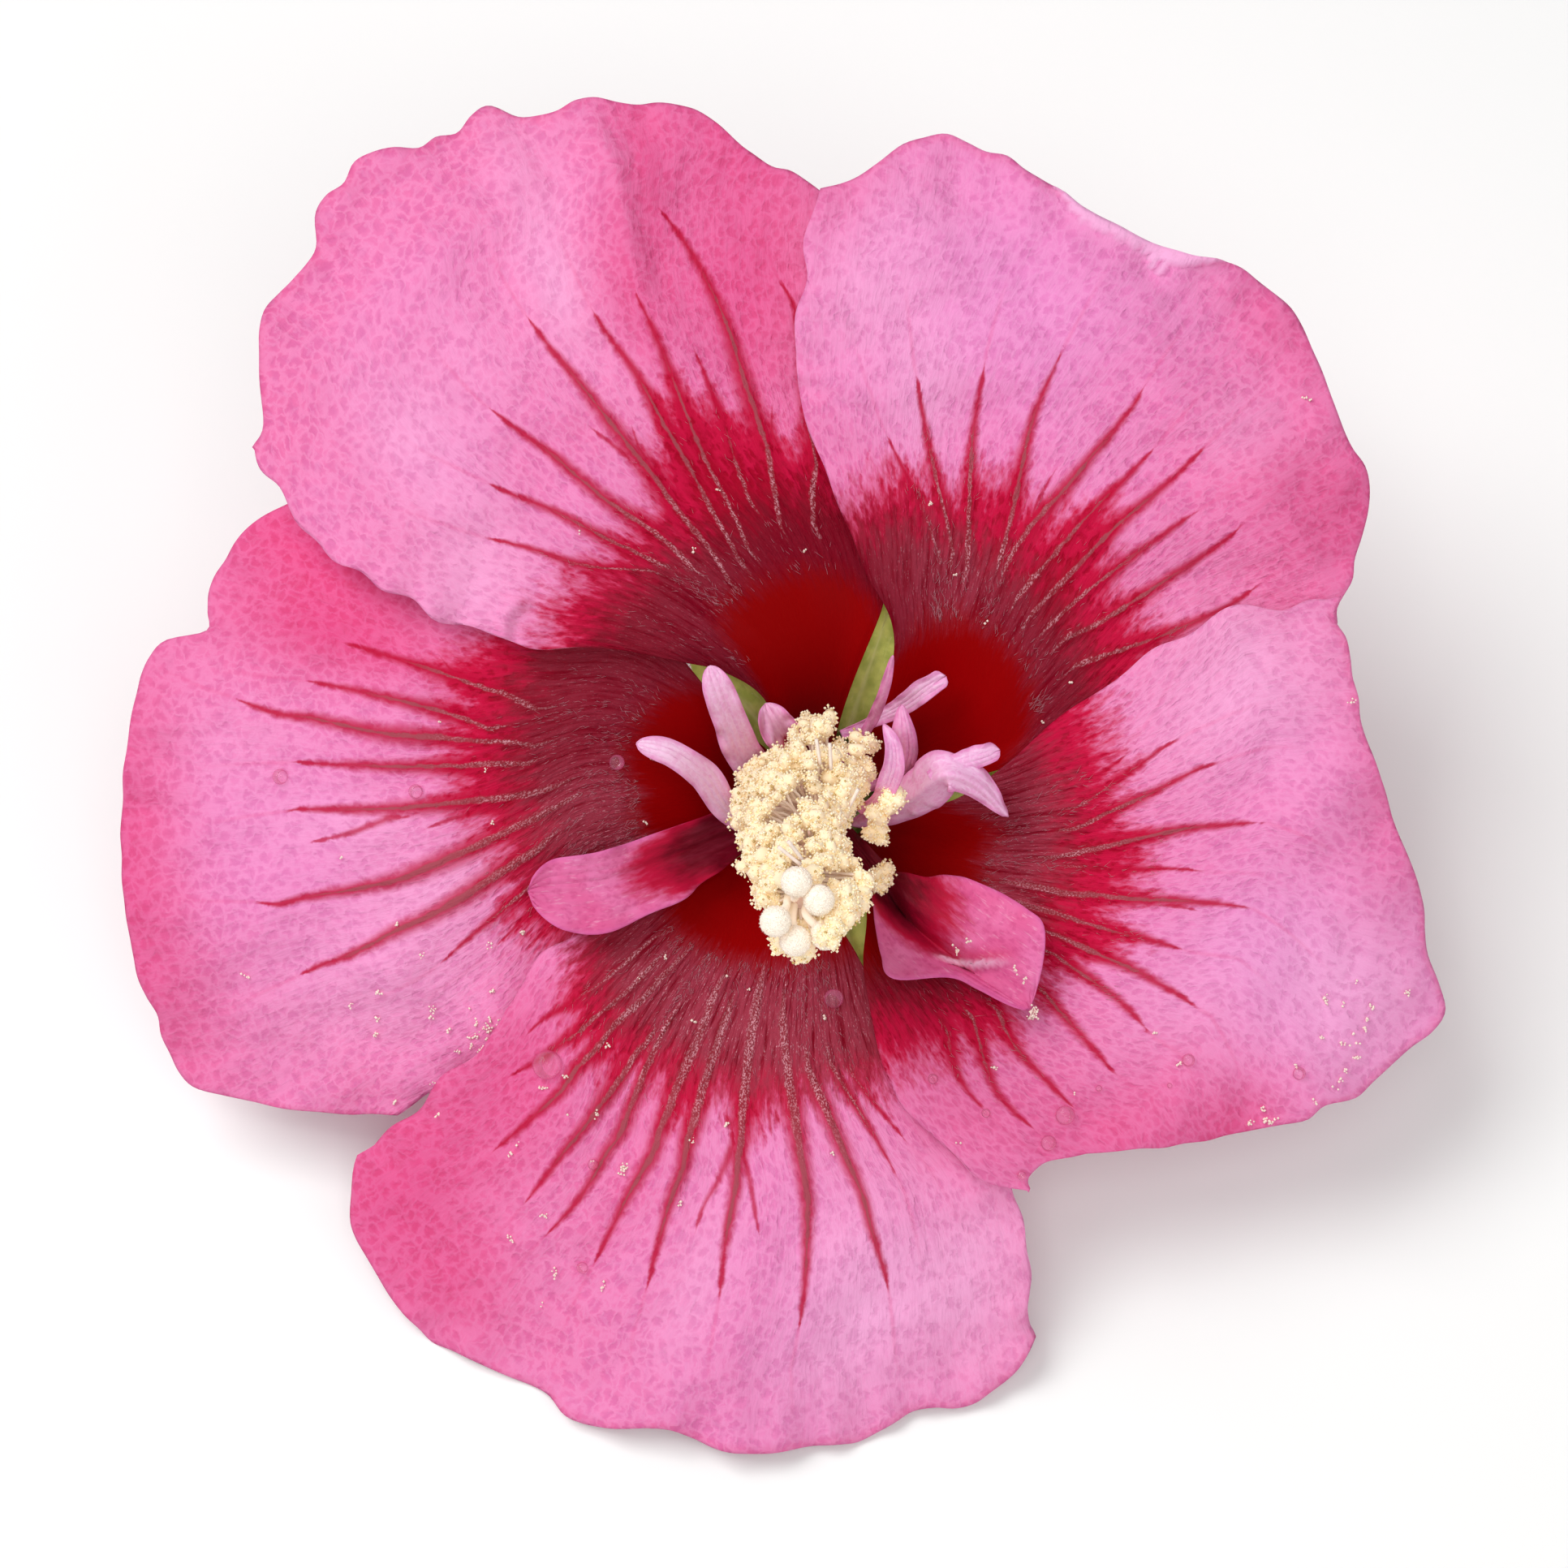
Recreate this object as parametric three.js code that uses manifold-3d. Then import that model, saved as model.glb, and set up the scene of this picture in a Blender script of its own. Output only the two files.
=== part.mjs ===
// One cut bloom of rose of sharon: five overlapping petals, ten petaloids, the stamen column with its
// anther tufts and five stigmas, and under them the ovary, calyx, epicalyx and the cut stalk.
// Millimetres, +Z up. The bloom is first built upright round its own axis, then laid down at rest.

import * as THREE from 'three';
import { mergeVertices } from 'three/addons/utils/BufferGeometryUtils.js';
import Module from 'manifold-3d';

const wasm = await Module();
wasm.setup();

// ---------------------------------------------------------------- driving dimensions (mm, degrees)

const PETAL_BASE_RADIUS = 3.9; // where every petal starts, round the foot of the column
const PETAL_THICKNESS = 0.5;
const CLAW_THICKNESS = 0.7;
const CLAW_END = 14; // radius at which the narrow claw has opened into the blade
const OVERLAP_LIFT = 1.1; // how far a margin rises over, or dips under, its neighbour
const PETAL_COLUMNS = 16;
const PETAL_ROWS = 16;

// Height of the bloom's funnel at each radius from its axis.
const FUNNEL = [
  [3.9, 9.4], [6, 12.6], [10, 16.6], [15, 20], [20, 22.1], [30, 24.2], [40, 24.6], [50, 23.2], [60, 20.5],
];

// Each petal: its two side margins as [radius, angle] stations, anticlockwise side first, and the
// radius of its rim at even steps from that side to the other. over is 1 where a margin lies over
// the next petal and -1 where it lies under. droop is how far the whole rim hangs, hang how far more
// its two ends do, and waves how often and how far it ruffles, and where that starts.
const PETALS = {
  petal_upper_left: {
    left: [[4, 127], [9, 122], [12.5, 129], [15.3, 137], [18.5, 143], [25.5, 153], [38, 154.5], [50.5, 148]],
    right: [[4, 82], [14.5, 74], [20, 77], [28, 84], [40, 87]],
    rim: [50.8, 54.8, 56.5, 59.4, 59.2, 58.5, 56, 54.7, 51.9, 47.7, 44],
    over: [1, -1], droop: 0.5, waves: [3.5, 0.7, 0.3], hang: [0.5, 3], colour: 0xe585b4,
  },
  petal_upper_right: {
    left: [[4, 72], [13.5, 69], [17.6, 81], [27, 92.5], [34, 94], [45, 91]],
    right: [[4, 11], [10, 9], [14, 10], [20, 14], [28, 17], [40, 17]],
    rim: [45.9, 49.8, 50.4, 49.2, 48.6, 50.4, 51.2, 48.9, 47.7, 43.7, 39.5],
    over: [1, -1], droop: 1.5, waves: [2.5, 0.8, 1.9], hang: [0.8, 1.4], colour: 0xe68cbb,
  },
  petal_right: {
    left: [[4, -5], [9, -2], [13, 9], [18, 19], [24, 22.8], [28.2, 25], [34.2, 24.7], [40.3, 21.5]],
    right: [[4, -66], [8.4, -69], [12.3, -77], [15.5, -78.5], [21.5, -77.7], [28.8, -70.2], [33, -63.5]],
    rim: [41.4, 40.6, 41.2, 43.3, 46.3, 49.5, 46.4, 41.2, 36.8, 33.1, 32.4],
    over: [1, 1], droop: 3, waves: [2.5, 0.8, 4.2], hang: [0.5, 2], colour: 0xe482b4,
  },
  petal_lower: {
    left: [[4, -86], [8.5, -86], [12.2, -79], [20, -70], [28, -64.5], [34.8, -65], [43, -69]],
    right: [[4, -145], [12, -148], [22.8, -152], [27, -149], [30.5, -145.2], [43.7, -142.5]],
    rim: [44, 47.4, 47.7, 49.3, 50.3, 49.8, 51, 50.4, 50.9, 49.4, 45.6],
    over: [-1, 1], droop: 2.2, waves: [1.35, 1.4, -1.8], hang: [2.2, 7.4], colour: 0xe87fb4,
  },
  petal_left: {
    left: [[4, 187], [13, 189], [19, 205], [23, 214], [31, 219], [40, 216]],
    right: [[4, 141], [10, 139], [15, 136], [18, 136], [22, 140], [28, 146], [48, 150]],
    rim: [40.6, 48, 53.6, 54, 54.1, 54.1, 53.5, 53, 49.4, 49.2, 47.4],
    over: [-1, -1], droop: 3, waves: [3, 0.8, 0.9], hang: [6, 1.5], colour: 0xe27cad,
  },
};

// Each petaloid: points its fold line passes through, its width at even steps along it, the share of
// the half width by which the blade lies to the right of that line, and how far its two edges fold
// up (or, below 0, down) as a share of the half width.
const PETALOIDS = {
  petaloid_strap_inner: {
    line: [
      [-2.7, 1.4, 13.6], [-4.6, 1.8, 16.2], [-6.2, 3.2, 19],
      [-7.4, 6, 22.4], [-8.3, 8.5, 24.4], [-8.9, 10, 24.8],
    ],
    widths: [1.4, 2.3, 2.8, 2.7, 2.5, 1.9, 0.7], bias: 0, fold: 0.25, colour: 0xdca0cc,
  },
  petaloid_strap_outer: {
    line: [
      [-2.6, -0.2, 14.4], [-5.3, -1.8, 18], [-7.6, -0.7, 21.2],
      [-9.4, 1.9, 24.4], [-11.9, 3.6, 26.4], [-14.3, 4.2, 26.8],
    ],
    widths: [1.3, 2, 2.4, 2.6, 2.6, 2.4, 1.2], bias: 0, fold: -0.2, colour: 0xe0a8d0,
  },
  petaloid_large_left: {
    line: [
      [-2.3, -1.7, 12.8], [-7.4, -2.9, 16.9], [-12, -4.6, 21.4], [-16.7, -6.3, 24.6], [-22.4, -6.8, 26.4],
    ],
    widths: [1.8, 3.8, 5.6, 6.3, 6.4, 5.6, 1.9], bias: 0, fold: 0.22, colour: 0xd672a4,
  },
  petaloid_curled: {
    line: [[-1.7, 3.1, 14.2], [-3, 4.6, 17.2], [-4.2, 6.2, 19.5], [-4.7, 7.5, 19.8]],
    widths: [1.1, 1.8, 2.6, 3, 2], bias: 0, fold: 0.5, colour: 0xcf86b4,
  },
  petaloid_thin: {
    line: [[1.2, 2.9, 14], [3.2, 5.6, 18], [4.2, 8, 22], [4.9, 10.8, 24.6]],
    widths: [0.6, 0.7, 0.9, 0.8, 0.5], bias: 0, fold: 0, colour: 0xd985b8,
  },
  petaloid_notched: {
    line: [[2, 1.8, 14], [3.9, 5.2, 16.8], [5.6, 6.7, 19.3], [7.2, 8, 21.2], [9, 9.3, 22.2]],
    widths: [0.7, 0.9, 1.4, 1.8, 1.6], bias: 0, fold: 0.3, colour: 0xd98cc0,
  },
  petaloid_hooded: {
    line: [[2.4, 0.6, 15], [5.4, 2, 18.8], [6.3, 3.8, 22.4], [5.9, 5.9, 24.8], [5, 7.5, 24.6]],
    widths: [0.7, 1, 1.7, 1.7, 0.9], bias: 0, fold: -0.4, colour: 0xd880b8,
  },
  petaloid_leaf: {
    line: [[1.7, -1.1, 21.4], [3.6, 0.6, 25.6], [4.3, 2.6, 28.2], [4.2, 4.2, 28.6], [3.7, 5.6, 27.8]],
    widths: [0.7, 1.3, 1.8, 1.5, 0.6], bias: 0, fold: 0.35, colour: 0xd890c4,
  },
  petaloid_bent: {
    line: [
      [2.5, -0.2, 14.8], [4.4, -1.8, 18.8], [6.6, -1.2, 22.6],
      [8.9, 1.7, 26.6], [11.1, 1.1, 25.6], [13.6, -1.3, 23.6],
    ],
    widths: [0.8, 1.3, 2.4, 3, 2.6, 2.2, 0.6], bias: 0, fold: -0.45, colour: 0xd99ccc,
  },
  petaloid_large_right: {
    line: [[0.8, -1.8, 12.9], [3.4, -5.2, 17.4], [5.9, -8.9, 21], [9.9, -12.3, 24], [15.1, -15.7, 25.6]],
    widths: [1.6, 2.6, 4.6, 7, 8.6, 7.2, 1.5], bias: -0.45, fold: 0.3, colour: 0xd56aa0,
  },
};
const PETALOID_THICKNESS = 0.42;
const PETALOID_STEP = 1.3; // the largest petaloids have facets this wide, the small ones fewer

// The stamen column bends from the foot of the petals to its tip.
const COLUMN_LINE = [
  [0, 0.6, 9], [-0.2, 1, 14], [-0.4, 0.8, 19], [-1, -1.2, 26], [-1.7, -4.5, 33], [-2.2, -7, 37.6],
];
const COLUMN_RADII = [[0, 3], [0.08, 2.5], [0.2, 1.9], [0.5, 1.6], [0.85, 1.3], [1, 0.9]];

// Anther tufts stand round the column in rings.
const TUFT_RINGS = 4;
const TUFTS_PER_RING = 5;
const TUFT_TURN = 20; // direction of the first tuft
const TUFT_FROM = 0.41; // share of the column's length at the lowest ring
const TUFT_TO = 0.92;
const TUFT_REACH = [4.9, 3.3]; // from the column's midline to a tuft's centre, lowest and highest ring
const TUFT_RADII = [1.9, 1.5]; // lowest and highest ring
const TUFT_LUMPS = 0.3; // how far its anthers stand out of a tuft, as a share of its radius
const FILAMENT_RADIUS = 0.25;
const SEAT_GAP = 0.3; // clearance at every seat

// Where each stigma stands, in their order round the column's tip.
const STIGMAS = [
  [-2.4, -5.8, 42.2], [-3.9, -8.6, 42.4], [-2.5, -10, 41.4], [-0.3, -9.6, 40.8], [-0.8, -7.1, 42],
];
const STIGMA_RADIUS = 1;
const STYLE_RADIUS = 0.3;
const STYLE_RING = 0.8; // the styles leave the column's tip in a ring of this radius
const STYLE_TURN = 100; // direction of the first style

// Profiles as [radius, height], and the stalk's line from the calyx to the cut.
const CALYX_CUP = [
  [0, 0], [2.3, 0], [4.3, 1.8], [5.6, 5], [6.1, 9.2], [5.4, 9.2], [4.9, 5.4], [3.7, 2.8], [0, 1.6],
];
const OVARY = [[0, 2.3], [2.2, 2.8], [3.2, 4.4], [3.4, 6.2], [3, 8], [1.6, 8.6], [0, 8.65]];
const STALK_LINE = [[0, 0, -0.35], [0, 0.1, -2.2], [-1.2, 2.4, -5.4], [-3.8, 7, -8]];
const STALK_RADII = [[0, 2.3], [0.15, 1.6], [0.5, 1.35], [1, 1.4]];

const LOBE_ANGLES = [72, 131, 199, 279, 3]; // the calyx lobes stand in the gaps between the claws
const LOBE_RADII = [5.5, 16.2]; // from the cup's rim, on which the lobe sits, to its tip
const LOBE_DROP = 2.1; // below the petals' funnel
const LOBE_WIDTHS = [5.4, 6.4, 6.2, 4.8, 2.8, 0.5];
const LOBE_THICKNESS = 0.6;

const BRACTS = 7;
const BRACT_LINE = [[2.75, -0.8], [5, 1], [6.7, 4.6], [7.8, 8.6], [9.6, 11.2]]; // [radius, height]
const BRACT_WIDTHS = [1.1, 1.5, 1.5, 1.1, 0.4];
const BRACT_THICKNESS = 0.45;

// How the cut bloom lies: tilted over on the end of its stalk and two places on the lower petal's rim.
const REST_TURN = 0.324; // about the bloom's own axis, before it tilts
const REST_TILT = 27.594; // of that axis from upright, towards -Y

// ---------------------------------------------------------------- curves and closed bodies

const radians = THREE.MathUtils.degToRad;
const mix = THREE.MathUtils.lerp;
const ramp = (x, from, to) => THREE.MathUtils.smoothstep(x, from, to);

// A smooth line through [x, y] stations, level outside them.
function along(stations, x) {
  const last = stations.length - 1;
  if (x <= stations[0][0]) return stations[0][1];
  if (x >= stations[last][0]) return stations[last][1];
  let i = 0;
  while (x > stations[i + 1][0]) i += 1;
  const slope = (k) => {
    const a = stations[Math.max(0, k - 1)];
    const b = stations[Math.min(last, k + 1)];
    return (b[1] - a[1]) / (b[0] - a[0]);
  };
  const [x0, y0] = stations[i];
  const [x1, y1] = stations[i + 1];
  const span = x1 - x0;
  const s = (x - x0) / span;
  const s2 = s * s;
  const s3 = s2 * s;
  return (2 * s3 - 3 * s2 + 1) * y0 + (s3 - 2 * s2 + s) * span * slope(i)
    + (3 * s2 - 2 * s3) * y1 + (s3 - s2) * span * slope(i + 1);
}

const evenly = (values) => values.map((value, i) => [i / (values.length - 1), value]);
const curveThrough = (points) => new THREE.CatmullRomCurve3(points.map((p) => new THREE.Vector3(...p)));

// Only the positions of a geometry, with shared corners merged, so that it is one closed body.
function closed(geometry) {
  geometry.deleteAttribute('normal');
  geometry.deleteAttribute('uv');
  return mergeVertices(geometry, 1e-4);
}

// A sheet of some thickness round surface(u, t), with u across and t along, both 0 to 1.
function sheet(surface, thickness, columns, rows) {
  const step = 0.004;
  const box = new THREE.BoxGeometry(1, 1, 1, columns, rows, 1);
  const place = box.getAttribute('position');
  for (let i = 0; i < place.count; i += 1) {
    const u = place.getX(i) + 0.5;
    const t = place.getY(i) + 0.5;
    const across = surface(Math.min(1, u + step), t).sub(surface(Math.max(0, u - step), t));
    const forward = surface(u, Math.min(1, t + step)).sub(surface(u, Math.max(0, t - step)));
    const normal = across.cross(forward).normalize();
    const point = surface(u, t).addScaledVector(normal, Math.sign(place.getZ(i)) * thickness(u, t) / 2);
    place.setXYZ(i, point.x, point.y, point.z);
  }
  return closed(box);
}

// A round limb along a curve, its radius read from [share of length, radius] stations.
function limb(curve, radii, sides, steps) {
  const tube = new THREE.CylinderGeometry(1, 1, 1, sides, steps);
  const place = tube.getAttribute('position');
  const point = new THREE.Vector3();
  for (let i = 0; i < place.count; i += 1) {
    const t = place.getY(i) + 0.5;
    const turn = new THREE.Quaternion().setFromUnitVectors(new THREE.Vector3(0, 1, 0), curve.getTangentAt(t));
    point.set(place.getX(i), 0, place.getZ(i)).multiplyScalar(along(radii, t));
    point.applyQuaternion(turn).add(curve.getPointAt(t));
    place.setXYZ(i, point.x, point.y, point.z);
  }
  return closed(tube);
}

function turned(profile, sides) {
  const points = profile.map((p) => new THREE.Vector2(...p));
  return closed(new THREE.LatheGeometry(points, sides).rotateX(Math.PI / 2));
}

// Several closed bodies joined into one.
function fused(geometries) {
  const solids = geometries.map((geometry) => new wasm.Manifold(new wasm.Mesh({
    numProp: 3,
    vertProperties: Float32Array.from(geometry.getAttribute('position').array),
    triVerts: Uint32Array.from(geometry.getIndex().array),
  })));
  const mesh = solids.reduce((whole, solid) => whole.add(solid)).getMesh();
  const result = new THREE.BufferGeometry();
  result.setAttribute('position', new THREE.BufferAttribute(mesh.vertProperties, 3));
  result.setIndex(new THREE.BufferAttribute(mesh.triVerts, 1));
  return result;
}

// ---------------------------------------------------------------- petals and petaloids

// Height over a petal at a share u across it and a radius from the axis.
function petalHeight(petal, u, radius, rim) {
  const [waveCount, waveHeight, wavePhase] = petal.waves;
  const [hangLeft, hangRight] = petal.hang;
  const outward = ramp(radius, 18, 52);
  const sides = petal.over[0] * (1 - ramp(u, 0.1, 0.36)) + petal.over[1] * ramp(u, 0.64, 0.9);
  const lift = OVERLAP_LIFT * sides * ramp(radius, CLAW_END - 5, CLAW_END + 3);
  const wave = waveHeight * Math.sin(2 * Math.PI * waveCount * u + wavePhase) * Math.sin(Math.PI * u)
    * ramp(radius / rim, 0.55, 1);
  const hang = (hangLeft * Math.max(0, 1 - 2 * u) + hangRight * Math.max(0, 2 * u - 1)) * outward;
  return along(FUNNEL, radius) - petal.droop * outward ** 2 - hang + lift + wave;
}

function petal(shape) {
  const rimLine = evenly(shape.rim);
  const surface = (u, t) => {
    const rim = along(rimLine, u);
    const radius = mix(PETAL_BASE_RADIUS, rim, t);
    const angle = radians(mix(along(shape.left, radius), along(shape.right, radius), u));
    return new THREE.Vector3(
      radius * Math.cos(angle),
      radius * Math.sin(angle),
      petalHeight(shape, u, radius, rim),
    );
  };
  const thickness = (u, t) => mix(CLAW_THICKNESS, PETAL_THICKNESS, ramp(t, 0.1, 0.4));
  return sheet(surface, thickness, PETAL_COLUMNS, PETAL_ROWS);
}

function petaloid(shape) {
  const curve = curveThrough(shape.line);
  const widths = evenly(shape.widths);
  const surface = (u, t) => {
    const ahead = curve.getTangentAt(t);
    const side = ahead.clone().cross(new THREE.Vector3(0, 0, 1)).normalize();
    const up = side.clone().cross(ahead);
    const half = along(widths, t) / 2;
    const across = 2 * u - 1 + shape.bias;
    return curve.getPointAt(t)
      .addScaledVector(side, across * half)
      .addScaledVector(up, shape.fold * half * Math.abs(across) ** 1.5);
  };
  const columns = 2 * Math.ceil(Math.max(...shape.widths) / PETALOID_STEP / 2 + 0.5);
  const rows = Math.ceil(curve.getLength() / PETALOID_STEP / 1.5) + 2;
  return sheet(surface, () => PETALOID_THICKNESS, columns, rows);
}

// ---------------------------------------------------------------- stamen column and stigmas

const columnCurve = curveThrough(COLUMN_LINE);

function anthers(index) {
  const ring = Math.floor(index / TUFTS_PER_RING);
  const rise = ring / (TUFT_RINGS - 1);
  const at = mix(TUFT_FROM, TUFT_TO, rise);
  const turn = radians(TUFT_TURN) + 2 * Math.PI * ((index % TUFTS_PER_RING) + ring / 2) / TUFTS_PER_RING;
  const ahead = columnCurve.getTangentAt(at);
  const out = new THREE.Vector3(Math.cos(turn), Math.sin(turn), 0).projectOnPlane(ahead).normalize();
  const foot = columnCurve.getPointAt(at);
  const reach = mix(TUFT_REACH[0], TUFT_REACH[1], rise);
  const start = foot.clone().addScaledVector(out, along(COLUMN_RADII, at) + SEAT_GAP);
  const centre = foot.clone().addScaledVector(out, reach).addScaledVector(ahead, 0.8);
  const radii = [[0, FILAMENT_RADIUS], [1, FILAMENT_RADIUS]];
  const filament = limb(new THREE.LineCurve3(start, centre), radii, 6, 1);
  const lumps = new THREE.IcosahedronGeometry(mix(...TUFT_RADII, rise), 1);
  const place = lumps.getAttribute('position');
  const corner = new THREE.Vector3();
  for (let i = 0; i < place.count; i += 1) {
    corner.fromBufferAttribute(place, i);
    const bump = Math.sin(2.6 * corner.x + index) * Math.sin(2.9 * corner.y + 2 * index)
      + Math.sin(2.7 * corner.z);
    corner.multiplyScalar(1 + TUFT_LUMPS * bump / 2).add(centre);
    place.setXYZ(i, corner.x, corner.y, corner.z);
  }
  return fused([filament, closed(lumps)]);
}

function stigma([x, y, z], index) {
  const tip = columnCurve.getPointAt(1);
  const ahead = columnCurve.getTangentAt(1);
  const turn = radians(STYLE_TURN) + 2 * Math.PI * index / STIGMAS.length;
  const out = new THREE.Vector3(Math.cos(turn), Math.sin(turn), 0).projectOnPlane(ahead).normalize();
  const start = tip.addScaledVector(out, STYLE_RING).addScaledVector(ahead, SEAT_GAP);
  const bend = start.clone().addScaledVector(ahead, 1.6);
  const head = new THREE.Vector3(x, y, z);
  const radii = [[0, STYLE_RADIUS], [1, STYLE_RADIUS]];
  const style = limb(new THREE.QuadraticBezierCurve3(start, bend, head), radii, 5, 3);
  const lobe = new THREE.IcosahedronGeometry(STIGMA_RADIUS, 1).translate(x, y, z);
  return fused([style, closed(lobe)]);
}

// ---------------------------------------------------------------- calyx and epicalyx

function calyxLobe(degrees) {
  const direction = radians(degrees);
  const widths = evenly(LOBE_WIDTHS);
  const surface = (u, t) => {
    const radius = mix(LOBE_RADII[0], LOBE_RADII[1], t);
    const offset = (0.5 - u) * along(widths, t);
    return new THREE.Vector3(
      radius * Math.cos(direction) - offset * Math.sin(direction),
      radius * Math.sin(direction) + offset * Math.cos(direction),
      along(FUNNEL, radius) - LOBE_DROP + 0.06 * offset ** 2,
    );
  };
  return sheet(surface, () => LOBE_THICKNESS, 4, 7);
}

function bract(index) {
  const direction = 2 * Math.PI * index / BRACTS + 0.2;
  const placed = ([r, z]) => [r * Math.cos(direction), r * Math.sin(direction), z];
  const curve = curveThrough(BRACT_LINE.map(placed));
  const widths = evenly(BRACT_WIDTHS);
  const side = new THREE.Vector3(Math.sin(direction), -Math.cos(direction), 0);
  const surface = (u, t) => curve.getPointAt(t).addScaledVector(side, (u - 0.5) * along(widths, t));
  return sheet(surface, () => BRACT_THICKNESS, 2, 8);
}

// ---------------------------------------------------------------- the whole bloom

const bloom = new THREE.Group();

function add(name, geometry, color, roughness) {
  const mesh = new THREE.Mesh(geometry, new THREE.MeshStandardMaterial({ color, roughness, metalness: 0 }));
  mesh.name = name;
  bloom.add(mesh);
}

add('stalk', limb(curveThrough(STALK_LINE), STALK_RADII, 12, 8), 0x7f8f45, 0.7);
add('calyx_cup', turned(CALYX_CUP, 20), 0x84954a, 0.7);
add('ovary', turned(OVARY, 12), 0xc9cf8a, 0.6);
LOBE_ANGLES.forEach((degrees, i) => add(`calyx_lobe_${i + 1}`, calyxLobe(degrees), 0x8a9a4a, 0.7));
for (let i = 0; i < BRACTS; i += 1) add(`epicalyx_bract_${i + 1}`, bract(i), 0x74883e, 0.7);
Object.entries(PETALS).forEach(([name, shape]) => add(name, petal(shape), shape.colour, 0.55));
Object.entries(PETALOIDS).forEach(([name, shape]) => add(name, petaloid(shape), shape.colour, 0.55));
add('stamen_column', limb(columnCurve, COLUMN_RADII, 12, 12), 0xf0d9cf, 0.6);
for (let i = 0; i < TUFT_RINGS * TUFTS_PER_RING; i += 1) {
  add(`anther_tuft_${i + 1}`, anthers(i), 0xf1dcab, 0.9);
}
STIGMAS.forEach((at, i) => add(`stigma_${i + 1}`, stigma(at, i), 0xfdf1e2, 0.6));

bloom.rotation.set(radians(REST_TILT), 0, radians(REST_TURN), 'XYZ');
const part = new THREE.Group();
part.add(bloom);
part.updateMatrixWorld(true);
const extent = new THREE.Box3().setFromObject(part, true);
const middle = extent.getCenter(new THREE.Vector3());
part.position.set(-middle.x, -middle.y, -extent.min.z);

export default part;
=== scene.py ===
"""Visual model of one cut bloom of rose of sharon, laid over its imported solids.

Shapes are worked out in the bloom's own upright frame, in millimetres: the axis of the bloom is
+Z, +X is to the right and +Y up for someone who looks down that axis. Placement turns them into the
row frame, in metres, in which the bloom lies on its stalk and on the rim of its lower petal.
"""

import logging
import math
from collections.abc import Callable, Iterable
from dataclasses import dataclass, field
from enum import Enum, IntEnum

import bpy
import numpy as np
from mathutils import Matrix, Vector


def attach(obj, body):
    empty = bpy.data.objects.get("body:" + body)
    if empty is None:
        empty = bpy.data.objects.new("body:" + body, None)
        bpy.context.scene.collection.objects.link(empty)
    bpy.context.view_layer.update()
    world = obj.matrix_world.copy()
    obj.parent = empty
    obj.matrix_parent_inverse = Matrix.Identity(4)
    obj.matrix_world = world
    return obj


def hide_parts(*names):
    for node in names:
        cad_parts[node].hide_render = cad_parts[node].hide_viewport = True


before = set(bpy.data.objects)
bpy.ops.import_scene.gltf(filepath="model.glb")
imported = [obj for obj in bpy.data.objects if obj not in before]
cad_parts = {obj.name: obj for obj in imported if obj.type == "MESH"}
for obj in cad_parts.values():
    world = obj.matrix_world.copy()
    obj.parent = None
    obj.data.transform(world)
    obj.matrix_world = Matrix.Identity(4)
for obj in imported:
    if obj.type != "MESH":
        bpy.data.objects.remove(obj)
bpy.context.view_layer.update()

LOG = logging.getLogger("bloom")
BODY = "root"
MM = 0.001

Stations = tuple[tuple[float, float], ...]
Colour = tuple[int, int, int]
Point = tuple[float, float, float]
Points = Iterable[Iterable[float]]
Array = np.ndarray

FUNNEL: Stations = (
    (3.9, 9.4), (6, 12.6), (10, 16.6), (15, 20), (20, 22.1), (30, 24.2), (40, 24.6), (50, 23.2), (60, 20.5),
)
PETAL_BASE_RADIUS = 3.9
CLAW_END = 14.0  # radius at which a petal leaves its narrow foot
OVERLAP_LIFT = 1.1
VEIN_REACH = 3.0  # mm from a vein within which its distance is told
VEIN_SPACING = 0.012  # least share of a petal's width between two veins
BORDER_OUT = 0.4  # share of a petal's width beyond its margins where its outermost borders lie
TRACE_RUN = 14.0  # mm that a vein's fine line runs on beyond its last place
FAN_RADIUS = 35.0  # radius at which the fan coordinate is true to size
WAVES = 7  # sine waves in a ripple
TANGENT_STEP = 0.012  # share of a curve's length over which its tangent is taken


# ---------------------------------------------------------------- numbers and curves


def along(stations: Stations, x: Array) -> Array:
    """Reads a smooth line through stations, level beyond both ends.

    The line is a cubic Hermite spline whose slope at a station is that between its two neighbours.

    Args:
        stations: pairs of place and value, in rising order of place.
        x: places to read.

    Returns:
        The value at each place.
    """
    places, values = (np.array(column, dtype=float) for column in zip(*stations))
    last = len(places) - 1
    before = np.maximum(np.arange(last + 1) - 1, 0)
    after = np.minimum(np.arange(last + 1) + 1, last)
    slopes = (values[after] - values[before]) / (places[after] - places[before])
    at = np.clip(np.asarray(x, dtype=float), places[0], places[-1])
    i = np.clip(np.searchsorted(places, at, side="right") - 1, 0, last - 1)
    span = places[i + 1] - places[i]
    s = (at - places[i]) / span
    s2, s3 = s * s, s * s * s
    return (
        (2 * s3 - 3 * s2 + 1) * values[i]
        + (s3 - 2 * s2 + s) * span * slopes[i]
        + (3 * s2 - 2 * s3) * values[i + 1]
        + (s3 - s2) * span * slopes[i + 1]
    )


def evenly(values: tuple[float, ...]) -> Stations:
    """Gives values as stations at even steps from 0 to 1."""
    return tuple((i / (len(values) - 1), value) for i, value in enumerate(values))


def ramp(x: Array, low: float, high: float) -> Array:
    """Smooth step from 0 at low to 1 at high."""
    t = np.clip((np.asarray(x, dtype=float) - low) / (high - low), 0, 1)
    return t * t * (3 - 2 * t)


def hump(x: Array, centre: float, width: float) -> Array:
    """Bell curve, 1 at its centre and exp(-1) at one width from it."""
    return np.exp(-(((np.asarray(x, dtype=float) - centre) / width) ** 2))


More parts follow.
